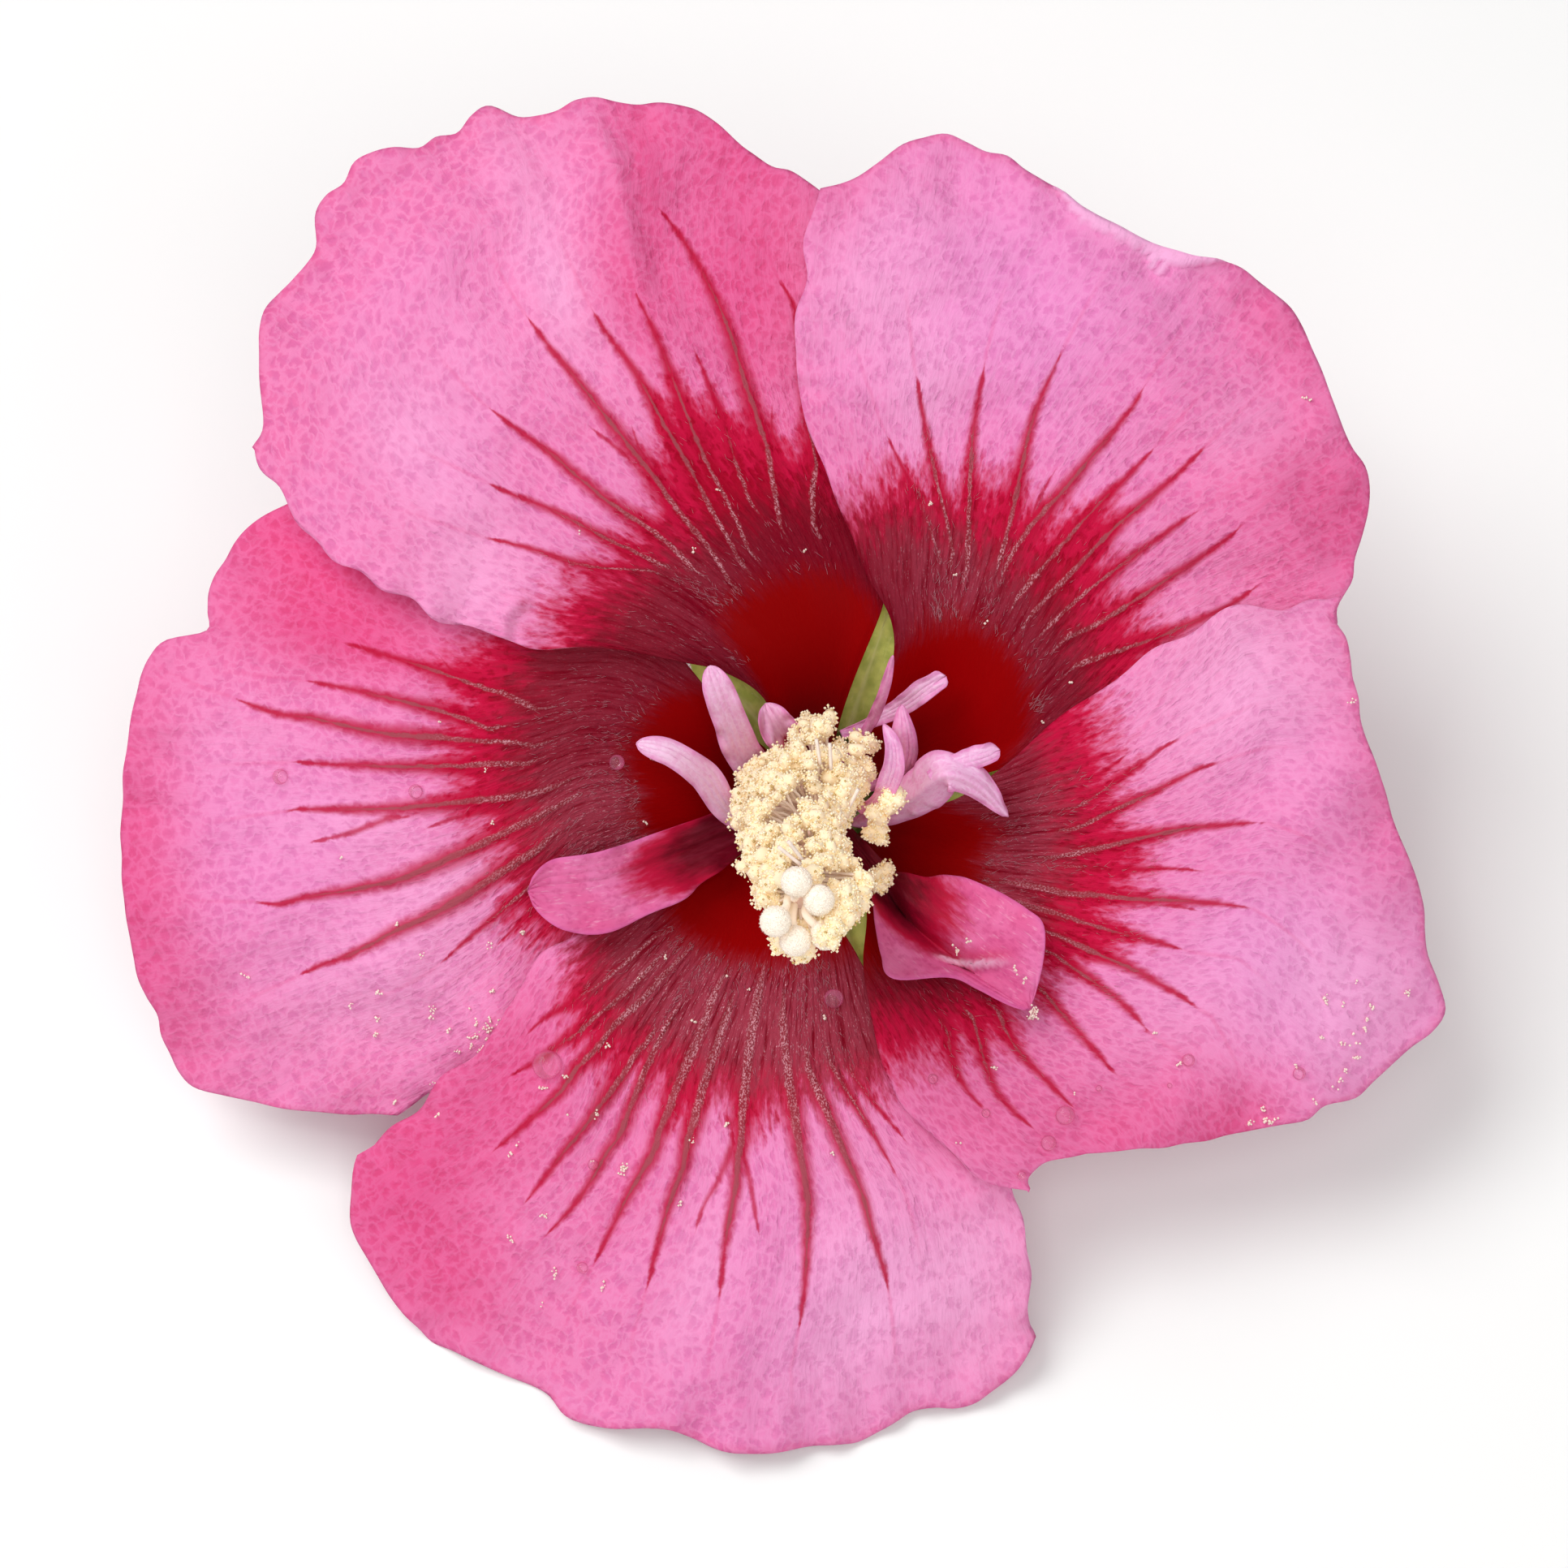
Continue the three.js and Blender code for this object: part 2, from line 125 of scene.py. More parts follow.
def ripple(seed: int, pitch: float, *coordinates: Array) -> Array:
    """Soft irregular waves between about -1 and 1.

    Some sine waves run in random directions, each with a random phase and a length near the pitch,
    and their sum is divided by the root of their number.

    Args:
        seed: which waves these are.
        pitch: usual length of a wave, in the units of the coordinates.
        coordinates: arrays of one shape, one for each direction of space.

    Returns:
        The height of the waves at each place.
    """
    rng = np.random.default_rng(seed)
    total = np.zeros_like(np.asarray(coordinates[0], dtype=float))
    for _ in range(WAVES):
        way = rng.normal(size=len(coordinates))
        way *= 2 * np.pi / pitch * rng.uniform(0.6, 1.5) / np.linalg.norm(way)
        phase = rng.uniform(0, 2 * np.pi)
        total += np.sin(sum(w * c for w, c in zip(way, coordinates)) + phase)
    return total / math.sqrt(WAVES)


def unit(vectors: Array) -> Array:
    """Scales vectors to length 1."""
    return vectors / np.maximum(np.linalg.norm(vectors, axis=-1, keepdims=True), 1e-12)


def grid_normals(points: Array) -> Array:
    """Normal of a grid of points: the direction across it crossed with the direction along it."""
    along_rows, across = np.gradient(points, axis=0), np.gradient(points, axis=1)
    return unit(np.cross(across, along_rows))


@dataclass
class Spine:
    """A centripetal Catmull-Rom curve through points, read by its share of length."""

    points: Points
    samples: int = 240

    def __post_init__(self) -> None:
        """Samples the curve densely and measures the length up to each sample."""
        given = np.array(tuple(self.points), dtype=float)
        padded = np.vstack([2 * given[0] - given[1], given, 2 * given[-1] - given[-2]])
        place = np.linspace(0, len(given) - 1 - 1e-9, self.samples)
        i = place.astype(int)
        s = (place - i)[:, None]
        a, b, c, d = (padded[i + k] for k in range(4))
        ab, bc, cd = (np.sqrt(np.linalg.norm(q - p, axis=1))[:, None] for p, q in ((a, b), (b, c), (c, d)))
        leave = bc * ((b - a) / ab - (c - a) / (ab + bc) + (c - b) / bc)
        arrive = bc * ((c - b) / bc - (d - b) / (bc + cd) + (d - c) / cd)
        bend, twist = 3 * (c - b) - 2 * leave - arrive, 2 * (b - c) + leave + arrive
        self.line = b + leave * s + bend * s**2 + twist * s**3
        steps = np.linalg.norm(np.diff(self.line, axis=0), axis=1)
        self.length = float(steps.sum())
        self.shares = np.concatenate([[0], np.cumsum(steps)]) / self.length

    def at(self, share: Array) -> Array:
        """Points at shares of the curve's length."""
        share = np.clip(share, 0, 1)
        return np.stack([np.interp(share, self.shares, self.line[:, k]) for k in range(3)], axis=-1)

    def ahead(self, share: Array) -> Array:
        """Tangents of the curve.

        Args:
            share: shares of the curve's length.

        Returns:
            Unit vectors.
        """
        share = np.asarray(share, dtype=float)
        before, beyond = np.maximum(share - TANGENT_STEP, 0), np.minimum(share + TANGENT_STEP, 1)
        return unit(self.at(beyond) - self.at(before))


# ---------------------------------------------------------------- meshes


@dataclass
class MeshData:
    """Points in millimetres, their faces, the map place of every face corner, and facts per point.

    A kind is the number of a face's material. Walls is how many of the last quads are edge walls,
    which are shaded flat so that the rim is crisp.
    """

    points: Array
    quads: Array = field(default_factory=lambda: np.zeros((0, 4), dtype=int))
    quad_map: Array = field(default_factory=lambda: np.zeros((0, 4, 2)))
    tris: Array = field(default_factory=lambda: np.zeros((0, 3), dtype=int))
    tri_map: Array = field(default_factory=lambda: np.zeros((0, 3, 2)))
    facts: dict[str, Array] = field(default_factory=dict)
    quad_kind: Array | None = None
    tri_kind: Array | None = None
    walls: int = 0

    def __post_init__(self) -> None:
        """Gives faces without a kind the first one."""
        if self.quad_kind is None:
            self.paint(0)

    def paint(self, kind: int) -> None:
        """Gives every face one kind."""
        self.quad_kind = np.full(len(self.quads), kind)
        self.tri_kind = np.full(len(self.tris), kind)

    @staticmethod
    def joined(pieces: list["MeshData"]) -> "MeshData":
        """Puts several meshes into one.

        Args:
            pieces: meshes that hold the same facts.

        Returns:
            The joined mesh.
        """
        starts = np.cumsum([0] + [len(piece.points) for piece in pieces])

        def merged(name: str, numbers: bool = False) -> Array:
            """One array of all pieces, shifted to the new numbers of points if it holds such."""
            arrays = [getattr(piece, name) + start * numbers for piece, start in zip(pieces, starts)]
            return np.concatenate(arrays)

        facts = {name: np.concatenate([piece.facts[name] for piece in pieces]) for name in pieces[0].facts}
        quads, tris = merged("quads", numbers=True), merged("tris", numbers=True)
        kinds = (merged("quad_kind"), merged("tri_kind"))
        return MeshData(merged("points"), quads, merged("quad_map"), tris, merged("tri_map"), facts, *kinds)


def around(sides: int) -> Array:
    """Even turns round a circle, in radians, from 0."""
    return np.linspace(0, 2 * np.pi, sides, endpoint=False)


def cells(rows: int, columns: int, wrap: bool = False) -> Array:
    """Quads of a grid of points, numbered row by row, each turning from across to along.

    Args:
        rows: number of rows of points.
        columns: number of points in a row.
        wrap: whether the last column joins the first.

    Returns:
        An array of four point numbers a quad.
    """
    i = np.arange(rows - 1)[:, None] * columns
    j = np.arange(columns if wrap else columns - 1)[None, :]
    k = (j + 1) % columns
    return np.stack([i + j, i + k, i + columns + k, i + columns + j], -1).reshape(-1, 4)


def caps(rings: int, sides: int) -> Array:
    """Triangles from the first and the last ring of a wrapped grid to two poles numbered after it.

    Args:
        rings: number of rings of the grid.
        sides: number of points in each ring.

    Returns:
        An array of three point numbers a triangle.
    """
    turn = np.arange(sides)
    following = (turn + 1) % sides
    pole = np.full(sides, rings * sides)
    top = (rings - 1) * sides
    return np.concatenate([
        np.stack([pole, following, turn], -1),
        np.stack([pole + 1, top + turn, top + following], -1),
    ])


def map_places(*corners: tuple[Array | float, Array | float]) -> Array:
    """Map places of faces: across and up the map for each corner, as a value a face or one for all."""
    return np.stack([np.stack(np.broadcast_arrays(*corner), -1) for corner in corners], 1)


def shell(upper: Array, lower: Array, facts: dict[str, Array]) -> MeshData:
    """Closes two grids of points, one over the other, into a thin solid.

    The upper grid takes the left half of the map and the lower grid the right half. A row of quads
    round their edges joins them, and takes a strip along the top of the map.

    Args:
        upper: rows by columns of points on the face towards the normal.
        lower: the same places on the other face.
        facts: values at each place of the grid, given to both faces; the fact "face" is added.

    Returns:
        The closed mesh.
    """
    rows, columns = upper.shape[:2]
    count = rows * columns
    place = np.stack(np.meshgrid(np.linspace(0.005, 0.495, columns), np.linspace(0.005, 0.96, rows)), -1)
    place = place.reshape(-1, 2)
    top = cells(rows, columns)
    bottom = top[:, ::-1]
    edge = np.concatenate([
        np.arange(columns),
        np.arange(1, rows) * columns + columns - 1,
        (rows - 1) * columns + np.arange(columns - 2, -1, -1),
        np.arange(rows - 2, 0, -1) * columns,
    ])
    following = np.roll(edge, -1)
    wall = np.stack([edge + count, following + count, following, edge], -1)
    run = np.linspace(0.005, 0.995, len(edge) + 1)
    here, there, low, high = run[:-1], run[1:], 0.972, 0.995
    wall_map = map_places((here, low), (there, low), (there, high), (here, high))
    both = {
        name: np.concatenate([value.reshape(count, *value.shape[2:])] * 2) for name, value in facts.items()
    }
    both["face"] = np.repeat([1.0, 0.0], count)
    return MeshData(
        np.concatenate([upper.reshape(-1, 3), lower.reshape(-1, 3)]),
        np.concatenate([top, bottom + count, wall]),
        np.concatenate([place[top], place[bottom] + (0.5, 0), wall_map]),
        facts=both,
        walls=len(edge),
    )


def closed_tube(rings: Array, facts: dict[str, Array] | None = None) -> MeshData:
    """Closes a pile of rings into a solid, with a pole at the middle of its first and last ring.

    A ring runs anticlockwise as seen from beyond the last ring, so that the faces point outwards.

    Args:
        rings: rings by sides of points.
        facts: values at each ring and side; a pole takes the mean of its ring.

    Returns:
        The closed mesh.
    """
    count, sides = rings.shape[:2]
    poles = np.stack([rings[0].mean(0), rings[-1].mean(0)])
    quads = cells(count, sides, wrap=True)
    i, j = np.divmod(np.arange(len(quads)), sides)
    left, right = j / sides, (j + 1) / sides
    low, high = 0.1 + 0.8 * i / (count - 1), 0.1 + 0.8 * (i + 1) / (count - 1)
    quad_map = map_places((left, low), (right, low), (right, high), (left, high))
    share = np.arange(sides) / sides
    middle, following = share + 0.5 / sides, share + 1 / sides
    foot = map_places((middle, 0.01), (following, 0.09), (share, 0.09))
    head = map_places((middle, 0.99), (share, 0.91), (following, 0.91))
    flat = {
        name: np.concatenate([value.reshape(count * sides, *value.shape[2:]), value[[0, -1]].mean(1)])
        for name, value in (facts or {}).items()
    }
    points = np.concatenate([rings.reshape(-1, 3), poles])
    return MeshData(points, quads, quad_map, caps(count, sides), np.concatenate([foot, head]), flat)


def circles(ahead: Array, turn: Array) -> Array:
    """Circles of radius 1 across some directions, with a point at each turn.

    Args:
        ahead: unit directions.
        turn: places round each circle, in radians.

    Returns:
        Points, directions by turns.
    """
    upright = np.abs(ahead[:, 2:3]) > 0.9
    side = unit(np.cross(np.where(upright, (1.0, 0, 0), (0, 0, 1.0)), ahead))
    up = np.cross(ahead, side)
    return np.cos(turn)[None, :, None] * side[:, None] + np.sin(turn)[None, :, None] * up[:, None]


def limb(spine: Spine, radii: Array, sides: int) -> Array:
    """Rings of a round limb: at each of the radii's even shares of length, a circle across the spine."""
    share = np.linspace(0, 1, len(radii))
    return spine.at(share)[:, None] + circles(spine.ahead(share), around(sides)) * radii[:, None, None]


def thread(points: Points, radius: float, rings: int, sides: int, samples: int = 240) -> MeshData:
    """A closed limb of one thickness along a curve through points."""
    return closed_tube(limb(Spine(points, samples), np.full(rings, radius), sides))


def balls(
    centres: Array, radii: Array, rings: int, sides: int, wobble: Array | float = 0.0
) -> MeshData:
    """Many closed balls in one mesh, each a grid of latitude by longitude with a pole at both ends.

    Args:
        centres: one point a ball.
        radii: three radii a ball, one for each axis.
        rings: circles of latitude between the poles.
        sides: points in each circle.
        wobble: share by which each grid point stands out, balls by rings by sides.

    Returns:
        The joined mesh, whose balls all use one place of the map.
    """
    latitude = np.linspace(0, np.pi, rings + 2)[1:-1, None]
    longitude = around(sides)[None]
    grid = np.stack([
        np.sin(latitude) * np.cos(longitude),
        np.sin(latitude) * np.sin(longitude),
        np.broadcast_to(-np.cos(latitude), (rings, sides)),
    ], -1)
    count = len(centres)
    stand = np.broadcast_to(1 + wobble, (count, rings, sides))
    body = centres[:, None, None] + grid[None] * radii[:, None, None] * stand[..., None]
    poles = centres[:, None] + radii[:, None] * np.array([(0, 0, -1.0), (0, 0, 1.0)])
    points = np.concatenate([body.reshape(count, -1, 3), poles], 1)
    shift = (np.arange(count) * points.shape[1])[:, None, None]
    quads = (cells(rings, sides, wrap=True)[None] + shift).reshape(-1, 4)
    tris = (caps(rings, sides)[None] + shift).reshape(-1, 3)
    corners = np.array([(0.2, 0.2), (0.8, 0.2), (0.8, 0.8), (0.2, 0.8)])
    quad_map = np.broadcast_to(corners, (len(quads), 4, 2))
    tri_map = np.broadcast_to(corners[:3], (len(tris), 3, 2))
    return MeshData(points.reshape(-1, 3), quads, quad_map, tris, tri_map)


def grains(centres: Array, radii: Array) -> MeshData:
    """Many tiny eight-sided grains in one mesh, each a pole pair over a ring of four."""
    return balls(centres, np.repeat(radii[:, None], 3, axis=1), 1, 4)


def hairs(roots: Array, tips: Array, width: float) -> MeshData:
    """Many fine hairs in one mesh, each a three-sided closed needle from its root to its tip.

    Args:
        roots: one point a hair.
        tips: one point a hair.
        width: radius of a hair at its root.

    Returns:
        The joined mesh.
    """
    ring = roots[:, None] + width * circles(unit(tips - roots), np.radians([90, 330, 210]))
    points = np.concatenate([ring, tips[:, None]], 1).reshape(-1, 3)
    faces = np.array([(1, 0, 3), (2, 1, 3), (0, 2, 3), (0, 1, 2)])
    tris = (faces[None] + (np.arange(len(roots)) * 4)[:, None, None]).reshape(-1, 3)
    corners = np.array([(0.2, 0.2), (0.8, 0.2), (0.5, 0.8)])
    return MeshData(points, tris=tris, tri_map=np.broadcast_to(corners, (len(tris), 3, 2)))


class Placement:
    """Lays the upright bloom down: a turn about its axis, a tilt towards -Y, then a shift."""

    TURN = math.radians(0.324)
    TILT = math.radians(27.594)
    SHIFT = np.array((3.84642, 8.57474, 5.24847))

    @classmethod
    def matrix(cls) -> Array:
        """Rotation from the bloom's frame to the row frame, its columns the bloom's axes."""
        return np.array(Matrix.Rotation(cls.TILT, 3, "X") @ Matrix.Rotation(cls.TURN, 3, "Z"))

    @classmethod
    def metres(cls, points: Array) -> Array:
        """Points of the bloom's frame, in mm, as points of the row frame, in metres."""
        return (points @ cls.matrix().T + cls.SHIFT) * MM


class Slot(Enum):
    """Material slots of the part."""

    PETAL = "petal"
    PETALOID = "petaloid"
    COLUMN = "column"
    ANTHER = "anther"
    STIGMA = "stigma"
    CALYX = "calyx"
    BRACT = "bract"
    STALK = "stalk"
    OVARY = "ovary"


def make_piece(
    name: str,
    data: MeshData,
    materials: list[bpy.types.Material],
    slot: Slot,
    replaces: tuple[str, ...] = (),
) -> None:
    """Makes one finished piece that rides on the bloom.

    Args:
        name: the piece's name.
        data: its mesh, in the bloom's frame.
        materials: its materials, in the order of the mesh's kinds.
        slot: the material slot that it would take its finish from; not used.
        replaces: solids that it stands for.
    """
    mesh = bpy.data.meshes.new(name)
    faces = data.quads.tolist() + data.tris.tolist()
    mesh.from_pydata(Placement.metres(data.points).tolist(), [], faces)
    layer = mesh.uv_layers.new(name="UVMap")
    corners = np.concatenate([data.quad_map.reshape(-1, 2), data.tri_map.reshape(-1, 2)])
    layer.data.foreach_set("uv", corners.astype(np.float32).ravel())
    for fact, value in data.facts.items():
        kind, key = ("FLOAT_VECTOR", "vector") if value.ndim == 2 else ("FLOAT", "value")
        mesh.attributes.new(fact, kind, "POINT").data.foreach_set(key, value.astype(np.float32).ravel())
    for material in materials:
        mesh.materials.append(material)
    kinds = np.concatenate([data.quad_kind, data.tri_kind]).astype(np.int32)
    mesh.polygons.foreach_set("material_index", kinds)
    smooth = np.ones(len(faces), dtype=bool)
    smooth[len(data.quads) - data.walls : len(data.quads)] = False
    mesh.polygons.foreach_set("use_smooth", smooth)
    mesh.update()
    piece = bpy.data.objects.new(name, mesh)
    bpy.context.scene.collection.objects.link(piece)
    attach(piece, BODY)
    if replaces:
        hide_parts(*replaces)
    LOG.info("%s: %d triangles", name, 2 * len(data.quads) + len(data.tris))


# ---------------------------------------------------------------- shader graphs


def linear(colour: Colour) -> tuple[float, float, float, float]:
    """Turns a display colour into the linear one that shaders take.

    Args:
        colour: its three parts, from 0 to 255.

    Returns:
        The linear colour, with an alpha of 1.
    """
    share = np.array(colour) / 255
    value = np.where(share <= 0.04045, share / 12.92, ((share + 0.055) / 1.055) ** 2.4)
    return (*value.tolist(), 1.0)


@dataclass(frozen=True, eq=False)
class Term:
    """A value worked out by a shader graph, with sums, differences and products like a number's."""

    graph: "Graph"
    socket: bpy.types.NodeSocket

    def __add__(self, other: "Term | float") -> "Term":
        """The sum of the two."""
        return self.graph.math("ADD", self, other)

    def __sub__(self, other: "Term | float") -> "Term":
        """This less the other."""
        return self.graph.math("SUBTRACT", self, other)

    def __rsub__(self, other: float) -> "Term":
        """The other less this."""
        return self.graph.math("SUBTRACT", other, self)

    def __mul__(self, other: "Term | float") -> "Term":
        """The product of the two."""
        return self.graph.math("MULTIPLY", self, other)


Value = Term | float | tuple[float, ...]


class Graph:
    """Lays out shader nodes in a material or a node group."""

    def __init__(self, tree: bpy.types.NodeTree) -> None:
        """Takes the node tree to fill."""
        self.tree = tree

    def feed(self, socket: bpy.types.NodeSocket, value: Value) -> None:
        """Links a socket to a term, or sets its value, a display colour as a linear one.

        Args:
            socket: an input of a node.
            value: what it gets.
        """
        if isinstance(value, Term):
            self.tree.links.new(value.socket, socket)
        elif isinstance(value, tuple) and socket.type == "RGBA":
            socket.default_value = linear(value)
        else:
            socket.default_value = value

    def node(self, kind: str, given: dict[str | int, Value], output: str | int = 0, **settings: str) -> Term:
        """Adds a node.

        Args:
            kind: its type, without ShaderNode before it.
            given: what its inputs get, by name or number.
            output: which output is wanted.
            settings: its properties.

        Returns:
            The wanted output.
        """
        node = self.tree.nodes.new("ShaderNode" + kind)
        for key, value in settings.items():
            setattr(node, key, value)
        for key, value in given.items():
            self.feed(node.inputs[key], value)
        return Term(self, node.outputs[output])

    def math(self, operation: str, *values: Value) -> Term:
        """A math node over one to three values."""
        return self.node("Math", dict(enumerate(values)), operation=operation)

    def mix(self, share: Value, first: Value, second: Value) -> Term:
        """A mix of two colours, all the second where the share is 1."""
        return self.node("Mix", {0: share, 6: first, 7: second}, 2, data_type="RGBA")

    def span(self, value: Term, low: Value, high: Value, to: tuple[float, float] = (0.0, 1.0)) -> Term:
        """A smooth step of value from low to high, put out between the two ends of to."""
        given = dict(enumerate((value, low, high, *to)))
        return self.node("MapRange", given, interpolation_type="SMOOTHSTEP")

    def fact(self, name: str, output: str = "Fac") -> Term:
        """A value that the mesh holds at its points."""
        return self.node("Attribute", {}, output, attribute_name=name)

    def scaled(self, vector: Term, scale: Point) -> Term:
        """A vector with each part multiplied."""
        return self.node("VectorMath", {0: vector, 1: scale}, operation="MULTIPLY")

    def measured(self, vector: Term, pitch: Term) -> Term:
        """A vector in units of a pitch."""
        given = {0: vector, "Scale": self.math("DIVIDE", 1.0, pitch)}
        return self.node("VectorMath", given, operation="SCALE")

    def moved(self, vector: Term, shift: Term) -> Term:
        """The sum of two vectors."""
        return self.node("VectorMath", {0: vector, 1: shift}, operation="ADD")

    def noise(
        self, vector: Term, scale: float, detail: float = 2.0, rough: float = 0.5, output: int = 0
    ) -> Term:
        """Smooth noise between about 0.2 and 0.8, or, as output 1, three of them as a vector."""
        given = {"Vector": vector, "Scale": scale, "Detail": detail, "Roughness": rough}
        return self.node("TexNoise", given, output)

    def bump(self, height: Term, depth_mm: float) -> Term:
        """The normal of a relief whose height of 0 to 1 stands for a depth."""
        return self.node("Bump", {"Height": height, "Strength": 1.0, "Distance": depth_mm * MM})

    def surface(self, **given: Value) -> None:
        """Feeds the shader's inputs, named with _ for a space."""
        for key, value in given.items():
            self.feed(self.tree.nodes["Principled BSDF"].inputs[key.replace("_", " ")], value)


@dataclass
class Effect:
    """A shader node group that several materials share, built when it is first placed.

    Its work function gets a graph and a term for each input, and gives a term for each output.
    """

    name: str
    inputs: dict[str, str]
    work: Callable[..., dict[str, Term]]
    tree: bpy.types.NodeTree | None = None

    def place(self, graph: Graph, *values: Value) -> dict[str, Term]:
        """Adds the group to a graph.

        Args:
            graph: where it is placed.
            values: what its inputs get, in order.

        Returns:
            Its outputs by name.
        """
        if self.tree is None:
            self.build()
        node = graph.tree.nodes.new("ShaderNodeGroup")
        node.node_tree = self.tree
        for socket, value in zip(node.inputs, values):
            graph.feed(socket, value)
        return {output.name: Term(graph, output) for output in node.outputs}

    def build(self) -> None:
        """Makes the group's sockets and nodes."""
        self.tree = bpy.data.node_groups.new(self.name, "ShaderNodeTree")
        graph = Graph(self.tree)
        for name, kind in self.inputs.items():
            self.tree.interface.new_socket(name=name, in_out="INPUT", socket_type="NodeSocket" + kind)
        given = self.tree.nodes.new("NodeGroupInput").outputs
        made = self.work(graph, *(Term(graph, given[name]) for name in self.inputs))
        for name in made:
            self.tree.interface.new_socket(name=name, in_out="OUTPUT", socket_type="NodeSocketFloat")
        result = self.tree.nodes.new("NodeGroupOutput").inputs
        for name, value in made.items():
            graph.feed(result[name], value)


def mottle(graph: Graph, fan: Term, size: Term) -> dict[str, Term]:
    """Darker islands in a paler net: cells drawn out along the fan and bent by noise.

    Args:
        graph: the group's graph.
        fan: place on the petal, in mm.
        size: usual width of a cell, in mm.

    Returns:
        Island, 1 in the middle of a cell as far as a noise lets it reach, Net, 1 on the lines between
        cells, and Cloud, a slow change of tone.
    """
    place = graph.measured(fan, size)
    drift = graph.moved(place, graph.scaled(graph.noise(place, 0.45, output=1), (2.2, 2.2, 0.0)))
    bent = graph.moved(drift, graph.scaled(graph.noise(place, 1.9, output=1), (0.9, 0.9, 0.0)))
    cell = {"Vector": graph.scaled(bent, (1.0, 0.56, 1.0)), "Scale": 1.0}
    middle = graph.node("TexVoronoi", cell, "Distance", feature="F1")
    border = graph.node("TexVoronoi", cell, "Distance", feature="DISTANCE_TO_EDGE")
    reach = middle + graph.noise(drift, 0.4, 3.0, 0.6) * 0.85
    return {
        "Island": graph.span(reach, 0.5, 1.05, (1.0, 0.0)),
        "Net": graph.span(border, 0.0, 0.26, (1.0, 0.0)),
        "Cloud": graph.span(graph.noise(place, 0.06, 3.0, 0.55), 0.35, 0.68),
    }


def band(graph: Graph, count: Term, core: Term, flank: Term, fray: Term) -> dict[str, Term]:
    """Two bands along a vein: 1 at the vein, falling to 0 at the core's and at the flank's half width.

    Args:
        graph: the group's graph.
        count: runs through a whole number at each vein; its distance from that number is the distance
            from the vein as a share of twice the reach.
        core: half width of the core, in mm.
        flank: half width of the flank, in mm.
        fray: noise that shifts the borders of both, in mm.

    Returns:
        Core and Flank, the two bands, and Distance, the distance from the vein in mm.
    """
    distance = graph.math("ABSOLUTE", graph.math("FRACT", count + 0.5) - 0.5) * (2 * VEIN_REACH)
    frayed = distance + fray
    inner = graph.span(frayed, core * 0.55, core + 0.06, (1.0, 0.0))
    outer = graph.span(frayed, flank * 0.1, flank * 1.5, (1.0, 0.0))
    return {
        "Core": inner * graph.span(core, 0.02, 0.1),
        "Flank": outer * graph.span(flank, 0.02, 0.12),
        "Distance": distance,
    }


def fibre(graph: Graph, fan: Term, pitch: Term) -> dict[str, Term]:
    """Fine lengthwise fibres and hairs: noises squeezed across the fan and drawn out along it.

    Args:
        graph: the group's graph.
        fan: place on the piece, in mm.
        pitch: width of a fibre, in mm.

    Returns:
        Hair, 1 on single hairs, and Height, the relief of the fibres.
    """
    place = graph.measured(fan, pitch)
    fine = graph.noise(graph.scaled(place, (1.0, 0.16, 1.0)), 1.0, 2.0, 0.6)
    broad = graph.noise(graph.scaled(place, (0.22, 0.035, 1.0)), 1.0, 2.0, 0.5)
    return {"Hair": graph.span(fine, 0.56, 0.7), "Height": fine * 0.4 + broad}


def grain(graph: Graph, place: Term, size: Term) -> dict[str, Term]:
    """Even grain on any surface.

    Args:
        graph: the group's graph.
        place: place on the surface.
        size: size of a grain, in the units of place.

    Returns:
        Tone, a slow noise, and Height, a fine one.
    """
    at = graph.measured(place, size)
    return {"Tone": graph.span(graph.noise(at, 0.25), 0.35, 0.65), "Height": graph.noise(at, 1.0, 3.0, 0.6)}


MOTTLE = Effect("petal_mottle", {"Fan": "Vector", "Size": "Float"}, mottle)
BAND = Effect("vein_band", {"Count": "Float", "Core": "Float", "Flank": "Float", "Fray": "Float"}, band)
FIBRE = Effect("fine_fibre", {"Fan": "Vector", "Pitch": "Float"}, fibre)
GRAIN = Effect("even_grain", {"Place": "Vector", "Size": "Float"}, grain)


# ---------------------------------------------------------------- finishes


class Finish:
    """A surface finish, whose paint method lays out the nodes of its material."""

    def material(self, name: str) -> bpy.types.Material:
        """Builds the finish.

        Args:
            name: the material's name.

        Returns:
            The material.
        """
        material = bpy.data.materials.new(name)
        material.use_nodes = True
        self.paint(Graph(material.node_tree))
        return material

    def paint(self, graph: Graph) -> None:
        """Feeds the shader's inputs."""
        raise NotImplementedError


